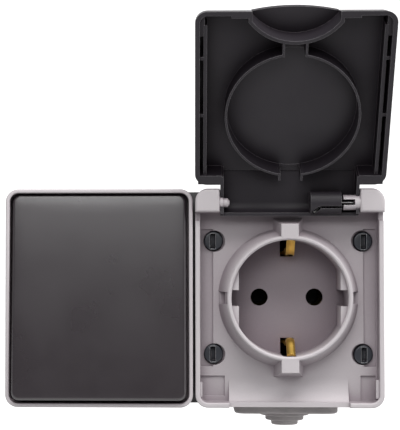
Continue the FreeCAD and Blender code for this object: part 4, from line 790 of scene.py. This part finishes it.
def make_camera():
    """The viewpoint of the photograph."""
    focal_px, photo_wide_px, sensor = 1382.7, 400, 36.0
    place = Vector((-0.73, -508.6, 12.33)) * MM
    yaw, pitch = math.radians(1.732), math.radians(1.921)
    camera = bpy.data.cameras.new("photo_camera")
    camera.sensor_fit = "HORIZONTAL"
    camera.sensor_width = sensor
    camera.lens = focal_px / photo_wide_px * sensor
    camera.shift_x = 0.125
    camera.clip_start = 0.05
    item = add_object("photo_camera", camera)
    forward = Vector((-math.sin(yaw) * math.cos(pitch), math.cos(yaw) * math.cos(pitch), math.sin(pitch)))
    right = Vector((math.cos(yaw), math.sin(yaw), 0.0))
    up = right.cross(forward)
    turn = Matrix((right, up, -forward)).transposed().to_4x4()
    item.matrix_world = Matrix.Translation(place) @ turn
    bpy.context.scene.camera = item


# Operators
class PaintNodes(bpy.types.Operator):
    """Give the construction nodes their finishes"""
    bl_idname = "combination.paint_nodes"
    bl_label = "Paint construction nodes"

    def execute(self, context):
        paint_frame()
        return {"FINISHED"}


class BuildRocker(bpy.types.Operator):
    """Build the crowned rocker cap"""
    bl_idname = "combination.build_rocker"
    bl_label = "Build rocker"

    def execute(self, context):
        build_rocker()
        return {"FINISHED"}


class BuildCover(bpy.types.Operator):
    """Build the socket cover moulding"""
    bl_idname = "combination.build_cover"
    bl_label = "Build socket cover"

    def execute(self, context):
        build_cover()
        return {"FINISHED"}


class BuildScrews(bpy.types.Operator):
    """Build the slotted cover screws"""
    bl_idname = "combination.build_screws"
    bl_label = "Build cover screws"

    def execute(self, context):
        build_cover_screws()
        return {"FINISHED"}


class BuildGrommet(bpy.types.Operator):
    """Build the stepped cable grommet"""
    bl_idname = "combination.build_grommet"
    bl_label = "Build grommet"

    def execute(self, context):
        build_grommet()
        return {"FINISHED"}


class BuildLid(bpy.types.Operator):
    """Build the lid moulding"""
    bl_idname = "combination.build_lid"
    bl_label = "Build lid"

    def execute(self, context):
        build_lid()
        return {"FINISHED"}


class BuildSpring(bpy.types.Operator):
    """Build the torsion spring of the lid"""
    bl_idname = "combination.build_spring"
    bl_label = "Build lid spring"

    def execute(self, context):
        build_lid_spring()
        return {"FINISHED"}


class BuildEarthStrip(bpy.types.Operator):
    """Build the brass earth strip with its two tongues"""
    bl_idname = "combination.build_earth_strip"
    bl_label = "Build earth strip"

    def execute(self, context):
        build_earth_strip()
        return {"FINISHED"}


class BuildStage(bpy.types.Operator):
    """Build the pale floor and wall, the lights and the camera"""
    bl_idname = "combination.build_stage"
    bl_label = "Build stage"

    def execute(self, context):
        make_backdrop()
        make_air()
        make_lights()
        make_camera()
        context.scene.view_settings.view_transform = "Standard"
        return {"FINISHED"}


class CombinationPanel(bpy.types.Panel):
    """Lists the steps that build the looks"""
    bl_idname = "VIEW3D_PT_combination"
    bl_label = "Combination"
    bl_space_type = "VIEW_3D"
    bl_region_type = "UI"
    bl_category = "Combination"

    def draw(self, context):
        for step in STEPS:
            self.layout.operator(step.bl_idname)


STEPS = [PaintNodes, BuildRocker, BuildCover, BuildScrews, BuildGrommet, BuildLid, BuildSpring,
         BuildEarthStrip, BuildStage]
CLASSES = [CombinationSizes, CombinationColours, *STEPS, CombinationPanel]


def register():
    for item in CLASSES:
        bpy.utils.register_class(item)
    bpy.types.Scene.combination_sizes = bpy.props.PointerProperty(type=CombinationSizes)
    bpy.types.Scene.combination_colours = bpy.props.PointerProperty(type=CombinationColours)


def unregister():
    del bpy.types.Scene.combination_colours
    del bpy.types.Scene.combination_sizes
    for item in reversed(CLASSES):
        bpy.utils.unregister_class(item)


def main():
    register()
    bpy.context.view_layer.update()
    bpy.ops.combination.paint_nodes()
    bpy.ops.combination.build_rocker()
    bpy.ops.combination.build_cover()
    bpy.ops.combination.build_screws()
    bpy.ops.combination.build_grommet()
    bpy.ops.combination.build_lid()
    bpy.ops.combination.build_spring()
    bpy.ops.combination.build_earth_strip()
    bpy.ops.combination.build_stage()


if __name__ == "__main__":
    main()
